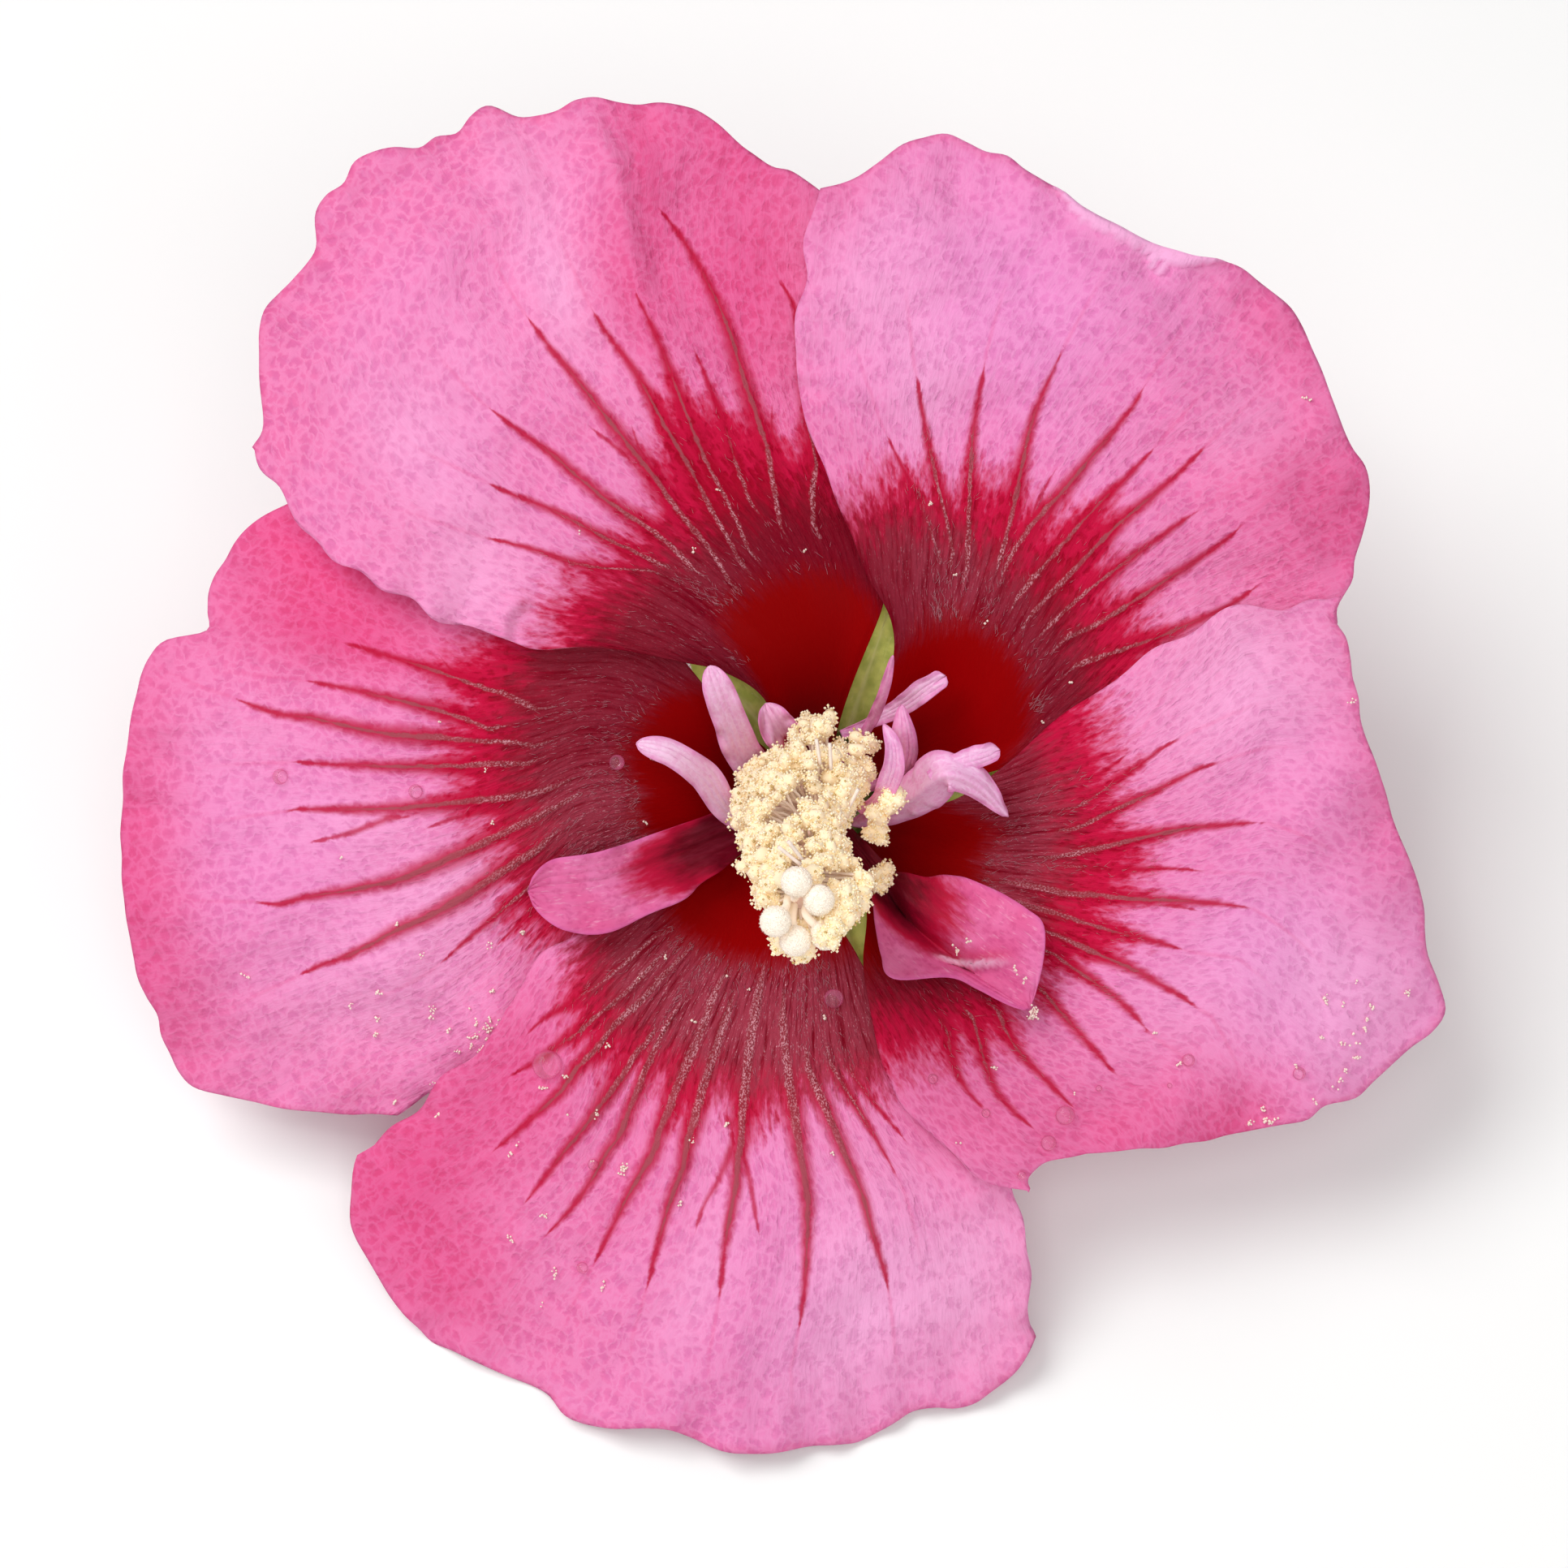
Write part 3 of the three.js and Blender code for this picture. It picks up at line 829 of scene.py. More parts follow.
@dataclass(frozen=True)
class PetalFinish(Finish):
    """Satin petal: a bare red throat, a maroon eye with hairs, crimson that bleeds into a pink blade."""

    throat: Colour = (144, 0, 3)
    # The throat darkens further down the funnel as painted shade of its deep hollow.
    throat_deep_shade: Colour = (122, 0, 3)
    maroon: Colour = (124, 2, 28)
    dusk: Colour = (158, 54, 74)
    crimson: Colour = (200, 16, 64)
    crimson_deep: Colour = (164, 2, 38)
    blade: Colour = (236, 124, 178)
    island: Colour = (192, 84, 150)
    # pale is the colour of painted highlights, of the turned-over sliver and of the net; lilac is a painted
    # sheen; rose is the blade's deeper colour and painted shade.
    pale: Colour = (248, 178, 222)
    lilac: Colour = (230, 146, 212)
    rose: Colour = (224, 74, 132)
    core: Colour = (138, 46, 56)
    hair: Colour = (236, 176, 190)
    back: Colour = (244, 176, 206)
    back_foot: Colour = (214, 206, 160)

    def paint(self, graph: Graph) -> None:
        """Lays the zones of the face over each other from the blade inwards, and the back beside them.

        Args:
            graph: the material's graph.
        """
        mix, span, fact = graph.mix, graph.span, graph.fact
        fan = fact("fan", "Vector")
        pattern = MOTTLE.place(graph, fan, 0.54)
        fibres = FIBRE.place(graph, fan, 0.14)
        island = pattern["Island"]
        fray = graph.noise(graph.scaled(fan, (1.3, 0.6, 1.0)), 1.0, 3.0, 0.65) - 0.5
        bleed = (island - 0.4) * 0.9

        eye = fact("eye") + (fray * 7.0 + bleed)
        depth = span(eye + (island - 0.35) * 4.0, 0.6, 7.5)
        red = mix(depth, self.crimson, self.crimson_deep)
        colour = mix(span(eye, -3.3, 1.4), self._blade(graph, pattern, fibres), red)
        loose = fray * 0.45 + bleed * -0.08
        veins = BAND.place(graph, fact("vein"), fact("core"), fact("flank"), loose)
        twigs = BAND.place(graph, fact("twig"), 0.0, fact("twig_flank"), loose)
        streak = mix(depth + 0.4, self.crimson, self.crimson_deep)
        colour = mix(veins["Flank"] * 0.92, colour, streak)
        colour = mix(twigs["Flank"] * 0.8, colour, streak)
        colour = mix(fact("turned") * 0.85, colour, self.pale)
        colour = mix(fact("trace") * span(veins["Distance"], 0.02, 0.26, (0.24, 0.0)), colour, self.rose)

        fleck = span(GRAIN.place(graph, fan, 0.15)["Height"], 0.48, 0.6)
        colour = self._eye(graph, colour, veins["Core"], fibres, fleck, fray)
        bare = span(fact("throat") + fray * 3.0, -1.6, 1.6)
        # Painted shade: the throat's red darkens further down the funnel.
        colour = mix(bare, colour, mix(span(fact("throat"), 3.0, 12.0), self.throat, self.throat_deep_shade))
        back = mix(pattern["Cloud"] * 0.5, self.back, self.blade)
        back = mix(veins["Flank"] * 0.35, back, self.rose)
        back = mix(span(fact("eye"), -2.0, 14.0), back, self.back_foot)
        relief = (fibres["Height"] - island * 0.3) * (1.0 - bare * 0.9)
        graph.surface(
            Base_Color=mix(fact("face"), back, colour),
            Roughness=0.5 - bare * 0.12,
            Specular_IOR_Level=0.05,
            Normal=graph.bump(relief, 0.15),
        )

    def _blade(self, graph: Graph, pattern: dict[str, Term], fibres: dict[str, Term]) -> Term:
        """Pink of the blade: islands between the lines of a lighter net, with a painted lilac sheen, pale
        patches that are painted highlights, and rose patches of deeper colour and painted shade.

        Args:
            graph: the material's graph.
            pattern: the mottle's outputs.
            fibres: the fibres' outputs.

        Returns:
            The colour.
        """
        mix, fact, cloud = graph.mix, graph.fact, pattern["Cloud"]
        blade = mix(cloud * 0.3, self.blade, self.rose)
        # Painted sheen in lilac, painted highlights in pale, and rose that is partly deeper colour, partly
        # painted shade where the blade turns from the light.
        blade = mix(fact("lilac") * 0.75, blade, self.lilac)
        blade = mix(fact("pale") * (cloud * 0.3 + 0.5), blade, self.pale)
        blade = mix(graph.math("MAXIMUM", fact("rose"), fact("rim") * 0.4), blade, self.rose)
        net = mix(fact("rose"), self.pale, self.blade)
        blade = mix(pattern["Net"] * 0.22 + fibres["Hair"] * 0.1, blade, net)
        shade = graph.span(fibres["Height"], 0.7, 1.0) * 0.14 + pattern["Island"] * 0.24
        return mix(shade, blade, mix(fact("rose"), self.island, self.crimson))

    def _eye(
        self, graph: Graph, colour: Term, cores: Term, fibres: dict[str, Term], fleck: Term, fray: Term
    ) -> Term:
        """Lays the dull maroon of the eye, the pale cores of the veins and the down over a colour.

        Args:
            graph: the material's graph.
            colour: what lies underneath.
            cores: 1 on the cores of the veins.
            fibres: the fibres' outputs.
            fleck: 1 on fine flecks.
            fray: noise about 0 that shifts the zone's border.

        Returns:
            The colour.
        """
        mix, span, fact = graph.mix, graph.span, graph.fact
        dusk = mix(fact("down") * span(fibres["Height"], 0.42, 0.85), self.maroon, self.dusk)
        colour = mix(span(fact("maroon") + fray * 8.0, -3.0, 2.5), colour, dusk)
        clumped = fleck * span(fibres["Height"], 0.5, 0.9, (0.3, 1.0))
        pale = (clumped - 0.14) * span(fact("maroon"), -7.0, 0.0) + 0.14
        colour = mix(cores * 0.72, colour, mix(pale, self.core, self.hair))
        downy = fact("down") * span(fact("maroon"), -1.0, 3.0) * (fibres["Hair"] * fleck)
        return mix(downy * 0.46, colour, self.hair)


@dataclass(frozen=True)
class PetaloidFinish(Finish):
    """Thin petaloid: pale lilac-pink with a lighter middle, pinker edges and a dark red claw."""

    blade: Colour = (238, 160, 212)
    light: Colour = (255, 228, 248)
    edge: Colour = (218, 100, 168)
    claw: Colour = (112, 2, 30)
    dusk: Colour = (140, 44, 66)
    crimson: Colour = (188, 12, 60)
    rose: Colour = (222, 94, 150)
    blush: Colour = (234, 128, 182)
    fleck: Colour = (196, 62, 124)

    def paint(self, graph: Graph) -> None:
        """Lays the patterns of the blade over each other, then those of a rosy one, the painted shade and
        highlight by the lip, the rims and the claw.

        Args:
            graph: the material's graph.
        """
        mix, span, fact = graph.mix, graph.span, graph.fact
        fan = fact("fan", "Vector")
        pattern = MOTTLE.place(graph, fan, 0.34)
        fibres = FIBRE.place(graph, fan, 0.2)
        fray = graph.noise(graph.scaled(fan, (2.2, 0.5, 1.0)), 1.0, 3.0, 0.6) - 0.5
        streak = span(fibres["Height"], 0.6, 0.95)
        colour = mix(fact("light") * 0.5, self.blade, self.light)
        colour = mix(fibres["Hair"] * 0.5, colour, self.light)
        colour = mix(streak * 0.3, colour, self.edge)
        colour = mix(pattern["Net"] * 0.25, colour, self.light)
        colour = mix(pattern["Island"] * 0.1, colour, self.edge)
        rosy = mix(pattern["Cloud"], self.rose, self.blush)
        rosy = mix(fibres["Hair"] * 0.2, rosy, self.light)
        rosy = mix(pattern["Island"] * 0.4 + streak * 0.25, rosy, self.fleck)
        colour = mix(fact("rosy"), colour, rosy)
        # Painted shade in the hollow by the lip and along a deep crease, and a painted highlight on the lip.
        colour = mix(fact("painted_hollow_shade") * 0.6, colour, self.crimson)
        colour = mix(fact("lip") * 0.45, colour, self.light)
        colour = mix(fact("rim") * 0.5, colour, self.edge)
        red = fact("claw") + fray * 0.4
        colour = mix(span(red, 0.2, 0.5), colour, self.crimson)
        colour = mix(span(red, 0.45, 0.85), colour, mix(streak * 0.6, self.claw, self.dusk))
        normal = graph.bump(fibres["Height"], 0.09)
        graph.surface(Base_Color=colour, Roughness=0.5, Specular_IOR_Level=0.2, Normal=normal)


@dataclass(frozen=True)
class LeafFinish(Finish):
    """Downy green tissue of calyx, bracts and stalk, with a paler midrib and cut faces."""

    green: Colour
    deep: Colour
    rib: Colour = (190, 198, 128)
    cut: Colour = (206, 208, 158)

    def paint(self, graph: Graph) -> None:
        """Lays midrib, hairs and cut face over two greens.

        Args:
            graph: the material's graph.
        """
        fan = graph.fact("fan", "Vector")
        grains = GRAIN.place(graph, fan, 0.35)
        fibres = FIBRE.place(graph, fan, 0.25)
        colour = graph.mix(grains["Tone"], self.green, self.deep)
        colour = graph.mix(graph.fact("rib") * 0.7, colour, self.rib)
        colour = graph.mix(fibres["Hair"] * 0.25, colour, self.rib)
        colour = graph.mix(graph.fact("cut"), colour, graph.mix(grains["Tone"], self.cut, self.rib))
        graph.surface(
            Base_Color=colour,
            Roughness=0.6,
            Sheen_Weight=0.25,
            Specular_IOR_Level=0.3,
            Normal=graph.bump(grains["Height"] + fibres["Height"], 0.09),
        )


@dataclass(frozen=True)
class TissueFinish(Finish):
    """Moist pale tissue of the stamen column."""

    light: Colour = (250, 226, 220)
    warm: Colour = (238, 196, 190)
    grain_mm: float = 0.5

    def paint(self, graph: Graph) -> None:
        """Lets a slow noise run between two pale tones.

        Args:
            graph: the material's graph.
        """
        grains = GRAIN.place(graph, graph.node("TexCoord", {}, "Object"), self.grain_mm * MM)
        colour = graph.mix(grains["Tone"], self.light, self.warm)
        normal = graph.bump(grains["Height"], 0.05)
        graph.surface(Base_Color=colour, Roughness=0.4, Specular_IOR_Level=0.45, Normal=normal)


@dataclass(frozen=True)
class PlainFinish(Finish):
    """One even colour, as for a mass of small pieces, which are dealt several of these.

    The glow is painted light: an emission, though the piece is no lamp, that brightens a mass of pollen and
    the stigmas where they lie in shade.
    """

    colour: Colour
    roughness: float = 0.8
    painted_glow: float = 0.0
    sheen: float = 0.0
    shine: float = 0.25
    painted_glow_colour: Colour = (255, 214, 162)

    def paint(self, graph: Graph) -> None:
        """Feeds the plain values.

        Args:
            graph: the material's graph.
        """
        graph.surface(
            Base_Color=self.colour,
            Roughness=self.roughness,
            Sheen_Weight=self.sheen,
            Specular_IOR_Level=self.shine,
            # Painted glow: light sent out though the piece is no lamp.
            Emission_Color=self.painted_glow_colour,
            Emission_Strength=self.painted_glow,
        )


@dataclass(frozen=True)
class DewFinish(Finish):
    """Clear water, as a glossy film that lets most of the petal through, darker round its foot as painted
    shade and paler at its crown as a painted highlight.
    """

    # foot is painted shade round the rim of a drop, and crown a painted highlight over its top.
    foot: Colour = (226, 92, 146)
    crown: Colour = (255, 190, 220)
    cover: tuple[float, float] = (0.4, 0.1)
    roughness: float = 0.02

    def paint(self, graph: Graph) -> None:
        """Covers more at the foot of a drop than at its crown.

        Args:
            graph: the material's graph.
        """
        rise = graph.fact("rise")
        graph.surface(
            Base_Color=graph.mix(graph.span(rise, 0.3, 0.8), self.foot, self.crown),
            Alpha=graph.span(rise, 0.3, 0.75, self.cover),
            Roughness=self.roughness,
            Coat_Weight=1.0,
            Coat_Roughness=self.roughness,
            Coat_IOR=1.5,
            Specular_IOR_Level=0.5,
        )


# ---------------------------------------------------------------- petals


@dataclass(frozen=True)
class Vein:
    """A vein of a petal: [share across, radius] places, from the throat to where its red streak ends.

    ridge_end is how far before the streak's end, in mm, the raised ridge has run out.
    """

    track: Stations
    strength: float = 1.0
    ridge_end: float = 3.0

    @property
    def path(self) -> Stations:
        """Its places as [radius, share across], in rising order of radius."""
        return tuple((radius, share) for share, radius in self.track)

    def at(self, radius: Array) -> Array:
        """Its share across, which runs on beyond its last place in a straight line.

        Args:
            radius: places along the petal.

        Returns:
            The share at each radius.
        """
        (first, start), (last, end) = self.path[-2:]
        slope = 0.8 * (end - start) / (last - first)
        return along(self.path, radius) + slope * np.clip(radius - last, 0, TRACE_RUN)


@dataclass(frozen=True)
class Tint:
    """A soft patch on a petal: where it is, how far it spreads, and how strong it is."""

    share: float
    radius: float
    share_spread: float
    radius_spread: float
    amount: float

    def at(self, share: Array, radius: Array) -> Array:
        """Its strength at places of the petal: the product of two bell curves."""
        across = hump(share, self.share, self.share_spread)
        return self.amount * across * hump(radius, self.radius, self.radius_spread)


@dataclass(frozen=True)
class Crease:
    """A fold line on a petal: share across at each radius or, if level, radius at each share."""

    path: Stations
    depth: float
    width: float
    level: bool = False

    def at(self, share: Array, radius: Array, breadth: Array) -> Array:
        """Height of the fold: a bell across its path, faded at both ends of it.

        Args:
            share: places across the petal.
            radius: places along the petal.
            breadth: width of the petal at each place.

        Returns:
            The height in mm.
        """
        run, place, scale = (share, radius, 1.0) if self.level else (radius, share, breadth)
        distance = (place - along(self.path, run)) * scale
        first, last = self.path[0][0], self.path[-1][0]
        soft = 0.3 * (last - first)
        start = 1.0 if first <= 0 else ramp(run, first - 0.01, first + soft)
        end = 1.0 if last >= 1 and self.level else 1 - ramp(run, last - soft, last)
        return self.depth * hump(distance, 0, self.width) * start * end


@dataclass(frozen=True)
class Petal:
    """One petal: margins as [radius, angle], a rim radius at even steps across, and its pattern.

    over, droop, waves and hang shape its height as on the solid: over is 1 where a side margin lies
    over the next petal and -1 where it lies under, droop is how far the rim hangs, hang how far more
    its two ends do, and waves are the number, height and phase of its ruffles. eye, maroon and throat
    are the radii of the colour zones, down how hairy it is, and turned how wide a sliver of its rim is
    turned over, each at shares across it.
    """

    name: str
    left: Stations
    right: Stations
    rim: tuple[float, ...]
    over: tuple[float, float]
    droop: float
    waves: tuple[float, float, float]
    hang: tuple[float, float]
    veins: tuple[Vein, ...]
    twigs: tuple[Vein, ...]
    eye: Stations
    maroon: Stations
    throat: Stations
    down: Stations
    # rose patches are partly the blade's deeper rose and partly painted shade where it turns from the light;
    # pale patches are painted highlights; lilac patches are a painted sheen.
    rose: tuple[Tint, ...] = ()
    pale: tuple[Tint, ...] = ()
    lilac: tuple[Tint, ...] = ()
    creases: tuple[Crease, ...] = ()
    turned: Stations = ((0, 0), (1, 0))
    seed: int = 1
    thickness: float = 0.3
    columns: int = 166
    rows: int = 156
    wander: float = 0.5  # degrees that the margins stray
    wander_pitch: float = 6.0
    frill: float = 0.36  # height of the short ruffles at the rim
    frill_pitch: float = 0.09  # as a share across
    dent: float = 0.36  # height and pitch of the soft dents
    dent_pitch: float = 11.0
    crinkle: float = 0.07  # height and pitch of the finer ones
    crinkle_pitch: float = 3.4
    curl: float = 0.4  # height, pitch and reach of the ruffles of the side margins
    curl_pitch: float = 5.0
    curl_reach: float = 1.5
    turned_lift: float = 0.4
    flank_end: float = 0.15  # half width of a red streak near its end, and its gain a mm before that
    flank_gain: float = 0.055
    flank_most: float = 1.0
    flank_share: float = 0.42  # most of the gap between two veins that it takes
    core_gain: float = 0.024  # the same of the raised ridge
    core_most: float = 0.33
    core_share: float = 0.16
    flame: float = 3.5  # how much further the eye's red runs along a vein, and how wide
    flame_reach: float = 0.8
    ridge: float = 0.2  # height and half width of the relief of a vein
    ridge_width: float = 0.38
    hair_spread: float = 0.32
    hair_length: tuple[float, float] = (0.3, 0.6)
    hair_width: float = 0.017

    def rim_at(self, share: Array) -> Array:
        """Radius of its rim."""
        return along(evenly(self.rim), share)

    def angle(self, share: Array, radius: Array) -> Array:
        """Direction from the bloom's axis: between the margins, which wander a little.

        Args:
            share: places across the petal.
            radius: places along the petal.

        Returns:
            The direction in radians.
        """
        left, right = along(self.left, radius), along(self.right, radius)
        wander = ripple(self.seed + 110, self.wander_pitch, radius) * (1 - ramp(share, 0, 0.08))
        wander = wander + ripple(self.seed + 120, self.wander_pitch, radius) * ramp(share, 0.92, 1)
        stray = self.wander * ramp(radius, 18, 26) * wander
        return np.radians((1 - share) * left + share * right + stray)

    def breadth(self, radius: Array) -> Array:
        """Width of the petal along its arc at a radius."""
        return radius * np.radians(along(self.left, radius) - along(self.right, radius))

    def turn_over(self, share: Array, radius: Array) -> Array:
        """1 on the sliver of the rim that is turned over, 0 elsewhere, with an uneven inner edge."""
        width = along(self.turned, share) * (1 + 0.25 * ripple(self.seed + 130, 0.014, share))
        return ramp(width - (self.rim_at(share) - radius), -0.1, 0.15) * ramp(width, 0.05, 0.3)

    def height(self, share: Array, radius: Array) -> Array:
        """Height over the bloom's foot.

        It is the funnel's height, less the droop and hang of the rim, plus the lift of overlapping
        margins, long ruffles towards the rim, short ones close to it, soft dents and folds.

        Args:
            share: places across the petal.
            radius: places along the petal.

        Returns:
            The height in mm.
        """
        rim, breadth = self.rim_at(share), self.breadth(radius)
        count, tall, phase = self.waves
        outward = ramp(radius, 18, 52)
        sides = self.over[0] * (1 - ramp(share, 0.1, 0.36)) + self.over[1] * ramp(share, 0.64, 0.9)
        lift = OVERLAP_LIFT * sides * ramp(radius, CLAW_END - 5, CLAW_END + 3)
        inner = np.sin(np.pi * np.clip(share, 0, 1))
        wave = tall * np.sin(2 * np.pi * count * share + phase) * inner * ramp(radius / rim, 0.55, 1)
        ends = self.hang[0] * np.maximum(0, 1 - 2 * share) + self.hang[1] * np.maximum(0, 2 * share - 1)
        angle = self.angle(share, radius)
        flat = (radius * np.cos(angle), radius * np.sin(angle))
        frill = self.frill * ripple(self.seed, self.frill_pitch, share, radius / 400)
        frill = frill * ramp(radius / rim, 0.84, 1)
        dents = self.dent * ripple(self.seed + 40, self.dent_pitch, *flat)
        dents = dents + self.crinkle * ripple(self.seed + 60, self.crinkle_pitch, *flat)
        side = np.minimum(share, 1 - share) * breadth
        near_side = np.exp(-side / self.curl_reach) * ramp(radius, 16, 24)
        curl = self.curl * ripple(self.seed + 90, self.curl_pitch, radius, share * 8) * near_side
        folds = sum(crease.at(share, radius, breadth) for crease in self.creases)
        folds = folds + self.turned_lift * self.turn_over(share, radius)
        hang = self.droop * outward**2 + ends * outward
        relief = wave + frill + curl + dents * ramp(radius, 20, 34) + folds
        return along(FUNNEL, radius) - hang + lift + relief

    def surface(self, share: Array, radius: Array) -> Array:
        """Points at a share across the petal and a radius from the axis."""
        angle = self.angle(share, radius)
        return np.stack([radius * np.cos(angle), radius * np.sin(angle), self.height(share, radius)], -1)

    def _vein_facts(self, veins: tuple[Vein, ...], share: Array, radius: Array) -> dict[str, Array]:
        """Tells at each place how far the nearest vein is, and how wide its core and flank are.

        A place between the veins i and i + 1 gets i plus half its distance from i as a share of the
        reach, or i + 1 less that from i + 1, whichever vein is nearer, so the value runs evenly
        through a whole number at each vein.

        Args:
            veins: veins in order across the petal.
            share: places across the petal.
            radius: places along the petal.

        Returns:
            Arrays of count, core, flank, distance, how much further the eye's red runs along the vein
            (flame), and how strong the fine line beyond its end is (trace).
        """
        breadth, level = self.breadth(radius), np.zeros_like(share)
        lines = [level - BORDER_OUT]
        for vein in veins:
            lines.append(np.maximum(vein.at(radius), lines[-1] + VEIN_SPACING))
        line = np.stack([*lines, level + 1 + BORDER_OUT])
        step = 0.05
        slopes = [(vein.at(radius + step) - vein.at(radius - step)) / (2 * step) for vein in veins]
        lean = 1 / np.sqrt(1 + (np.stack([level, *slopes, level]) * breadth) ** 2)
        index = np.clip((share[None] >= line).sum(0) - 1, 0, len(veins))
        before, beyond = (np.take_along_axis(line, i[None], 0)[0] for i in (index, index + 1))
        lean_before, lean_beyond = (np.take_along_axis(lean, i[None], 0)[0] for i in (index, index + 1))
        from_left = (share - before) * breadth * lean_before
        from_right = (beyond - share) * breadth * lean_beyond
        near_left = from_left <= from_right
        near = np.where(near_left, index, index + 1)
        count = np.where(
            near_left,
            index + np.clip(from_left / VEIN_REACH, 0, 1) / 2,
            index + 1 - np.clip(from_right / VEIN_REACH, 0, 1) / 2,
        )

        def nearest(values: Iterable[float]) -> Array:
            """The nearest vein's own value, of one value a vein."""
            return np.array([0, *values, 0], dtype=float)[near]

        beyond_start = radius - nearest(vein.path[0][0] for vein in veins)
        left_over = nearest(vein.path[-1][0] for vein in veins) - radius
        ahead = np.maximum(left_over, 0)
        strength = nearest(vein.strength for vein in veins)
        on = ramp(beyond_start, -2.5, 1) * strength
        gap = (beyond - before) * breadth
        widest = np.minimum(self.flank_most, self.flank_share * gap)
        flank = np.minimum(self.flank_end + self.flank_gain * ahead, widest) * ramp(ahead, -0.5, 2.5) * on
        ridge = self.core_gain * np.maximum(ahead - nearest(vein.ridge_end for vein in veins), 0)
        widest = np.minimum(self.core_most, self.core_share * gap)
        core = np.minimum(ridge, widest) * on * (0.5 + 0.5 * along(self.down, share))
        distance = np.minimum(from_left, from_right)
        return {
            "count": count,
            "core": core,
            "flank": flank,
            "distance": distance,
            "flame": self.flame * np.exp(-distance / self.flame_reach) * ramp(ahead, 0, 5) * strength,
            "trace": ramp(-left_over, -1.5, 0) * (1 - ramp(-left_over, 1, 8)) * strength,
        }

    def facts(self, share: Array, radius: Array) -> dict[str, Array]:
        """Everything that the finish reads: veins, how far inside each zone, tints and fan coordinates.

        Args:
            share: places across the petal.
            radius: places along the petal.

        Returns:
            One array a fact.
        """
        veins = self._vein_facts(self.veins, share, radius)
        twigs = self._vein_facts(self.twigs, share, radius)
        middle = np.radians((along(self.left, radius) + along(self.right, radius)) / 2)
        run = (middle - self.angle(share, radius)) * FAN_RADIUS
        facts = {
            name: np.clip(sum((tint.at(share, radius) for tint in tints), np.zeros_like(share)), 0, 1)
            for name, tints in (("rose", self.rose), ("pale", self.pale), ("lilac", self.lilac))
        }
        return facts | {
            "vein": veins["count"],
            "core": veins["core"],
            "flank": veins["flank"],
            "trace": veins["trace"],
            "twig": twigs["count"],
            "twig_flank": twigs["flank"],
            "eye": along(self.eye, share) - radius + veins["flame"] - 1,
            "maroon": along(self.maroon, share) - radius,
            "throat": along(self.throat, share) - radius,
            "down": along(self.down, share),
            "turned": self.turn_over(share, radius),
            "rim": 1 - ramp(self.rim_at(share) - radius, 0.1, 1.0),
            "fan": np.stack([run, radius, np.full_like(share, 10.0 * self.seed)], -1),
        }

    def mesh(self) -> MeshData:
        """The petal as a thin closed shell whose upper face carries the raised veins.

        Rows run from its base to its rim and columns across it. The shell thins out towards its edges.

        Returns:
            The closed mesh.
        """
        share, t = np.meshgrid(np.linspace(0, 1, self.columns), np.linspace(0, 1, self.rows))
        rim = self.rim_at(share)
        radius = PETAL_BASE_RADIUS + (rim - PETAL_BASE_RADIUS) * t
        middle = self.surface(share, radius)
        normal = grid_normals(middle)
        veins = self._vein_facts(self.veins, share, radius)
        ridge = self.ridge * ramp(veins["core"], 0.02, 0.2) * hump(veins["distance"], 0, self.ridge_width)
        edge = np.minimum(np.minimum(share, 1 - share) * self.breadth(radius), rim - radius)
        half = self.thickness / 2 * (0.3 + 0.7 * ramp(edge, 0, 0.7)) + 0.1 * (1 - ramp(t, 0.05, 0.3))
        upper = middle + normal * (half + ridge)[..., None]
        lower = middle - normal * (half + 0.4 * ridge)[..., None]
        return shell(upper, lower, self.facts(share, radius))

    def stand(self, share: Array, radius: Array) -> tuple[Array, Array]:
        """Points on the upper face, and the normals there.

        Args:
            share: places across the petal.
            radius: places along the petal.

        Returns:
            The points and the normals.
        """
        step = 0.02
        point = self.surface(share, radius)
        across = self.surface(share + step / 10, radius) - point
        outward = self.surface(share, radius + step) - point
        normal = unit(np.cross(across, outward))
        return point + normal * self.thickness / 2, normal

    def down_hairs(self, count: int) -> MeshData:
        """Pale hairs that lie along the vein ridges, from the edge of the bare throat outwards.

        Args:
            count: how many are drawn; fewer are kept where the petal is less hairy.

        Returns:
            The hairs.
        """
        rng = np.random.default_rng(500 + self.seed)
        number = rng.integers(0, len(self.veins), count)
        along_ridge = rng.uniform(0, 1, count) ** 1.5
        share, radius = np.zeros(count), np.zeros(count)
        for i, vein in enumerate(self.veins):
            chosen = number == i
            edge = along(self.throat, np.array([vein.path[0][1]]))[0]
            start = max(edge - 0.3, 8.0)
            end = min(vein.path[-1][0] - 4, start + 13)
            radius[chosen] = start + (end - start) * along_ridge[chosen]
            share[chosen] = along(vein.path, radius[chosen])
        breadth = self.breadth(radius)
        share = share + rng.normal(0, self.hair_spread, count) / breadth
        keep = rng.uniform(0, 1, count) < along(self.down, share) * 0.9 + 0.1
        share, radius, breadth = np.clip(share[keep], 0.01, 0.99), radius[keep], breadth[keep]
        length = rng.uniform(*self.hair_length, len(share))
        root, _ = self.stand(share, radius)
        swing = rng.normal(0, 0.4, len(share)) * length / breadth
        tip, normal = self.stand(np.clip(share + swing, 0, 1), radius + length)
        rise = rng.uniform(0.06, 0.22, len(share))[:, None]
        return hairs(root + normal * 0.05, tip + normal * rise, self.hair_width)


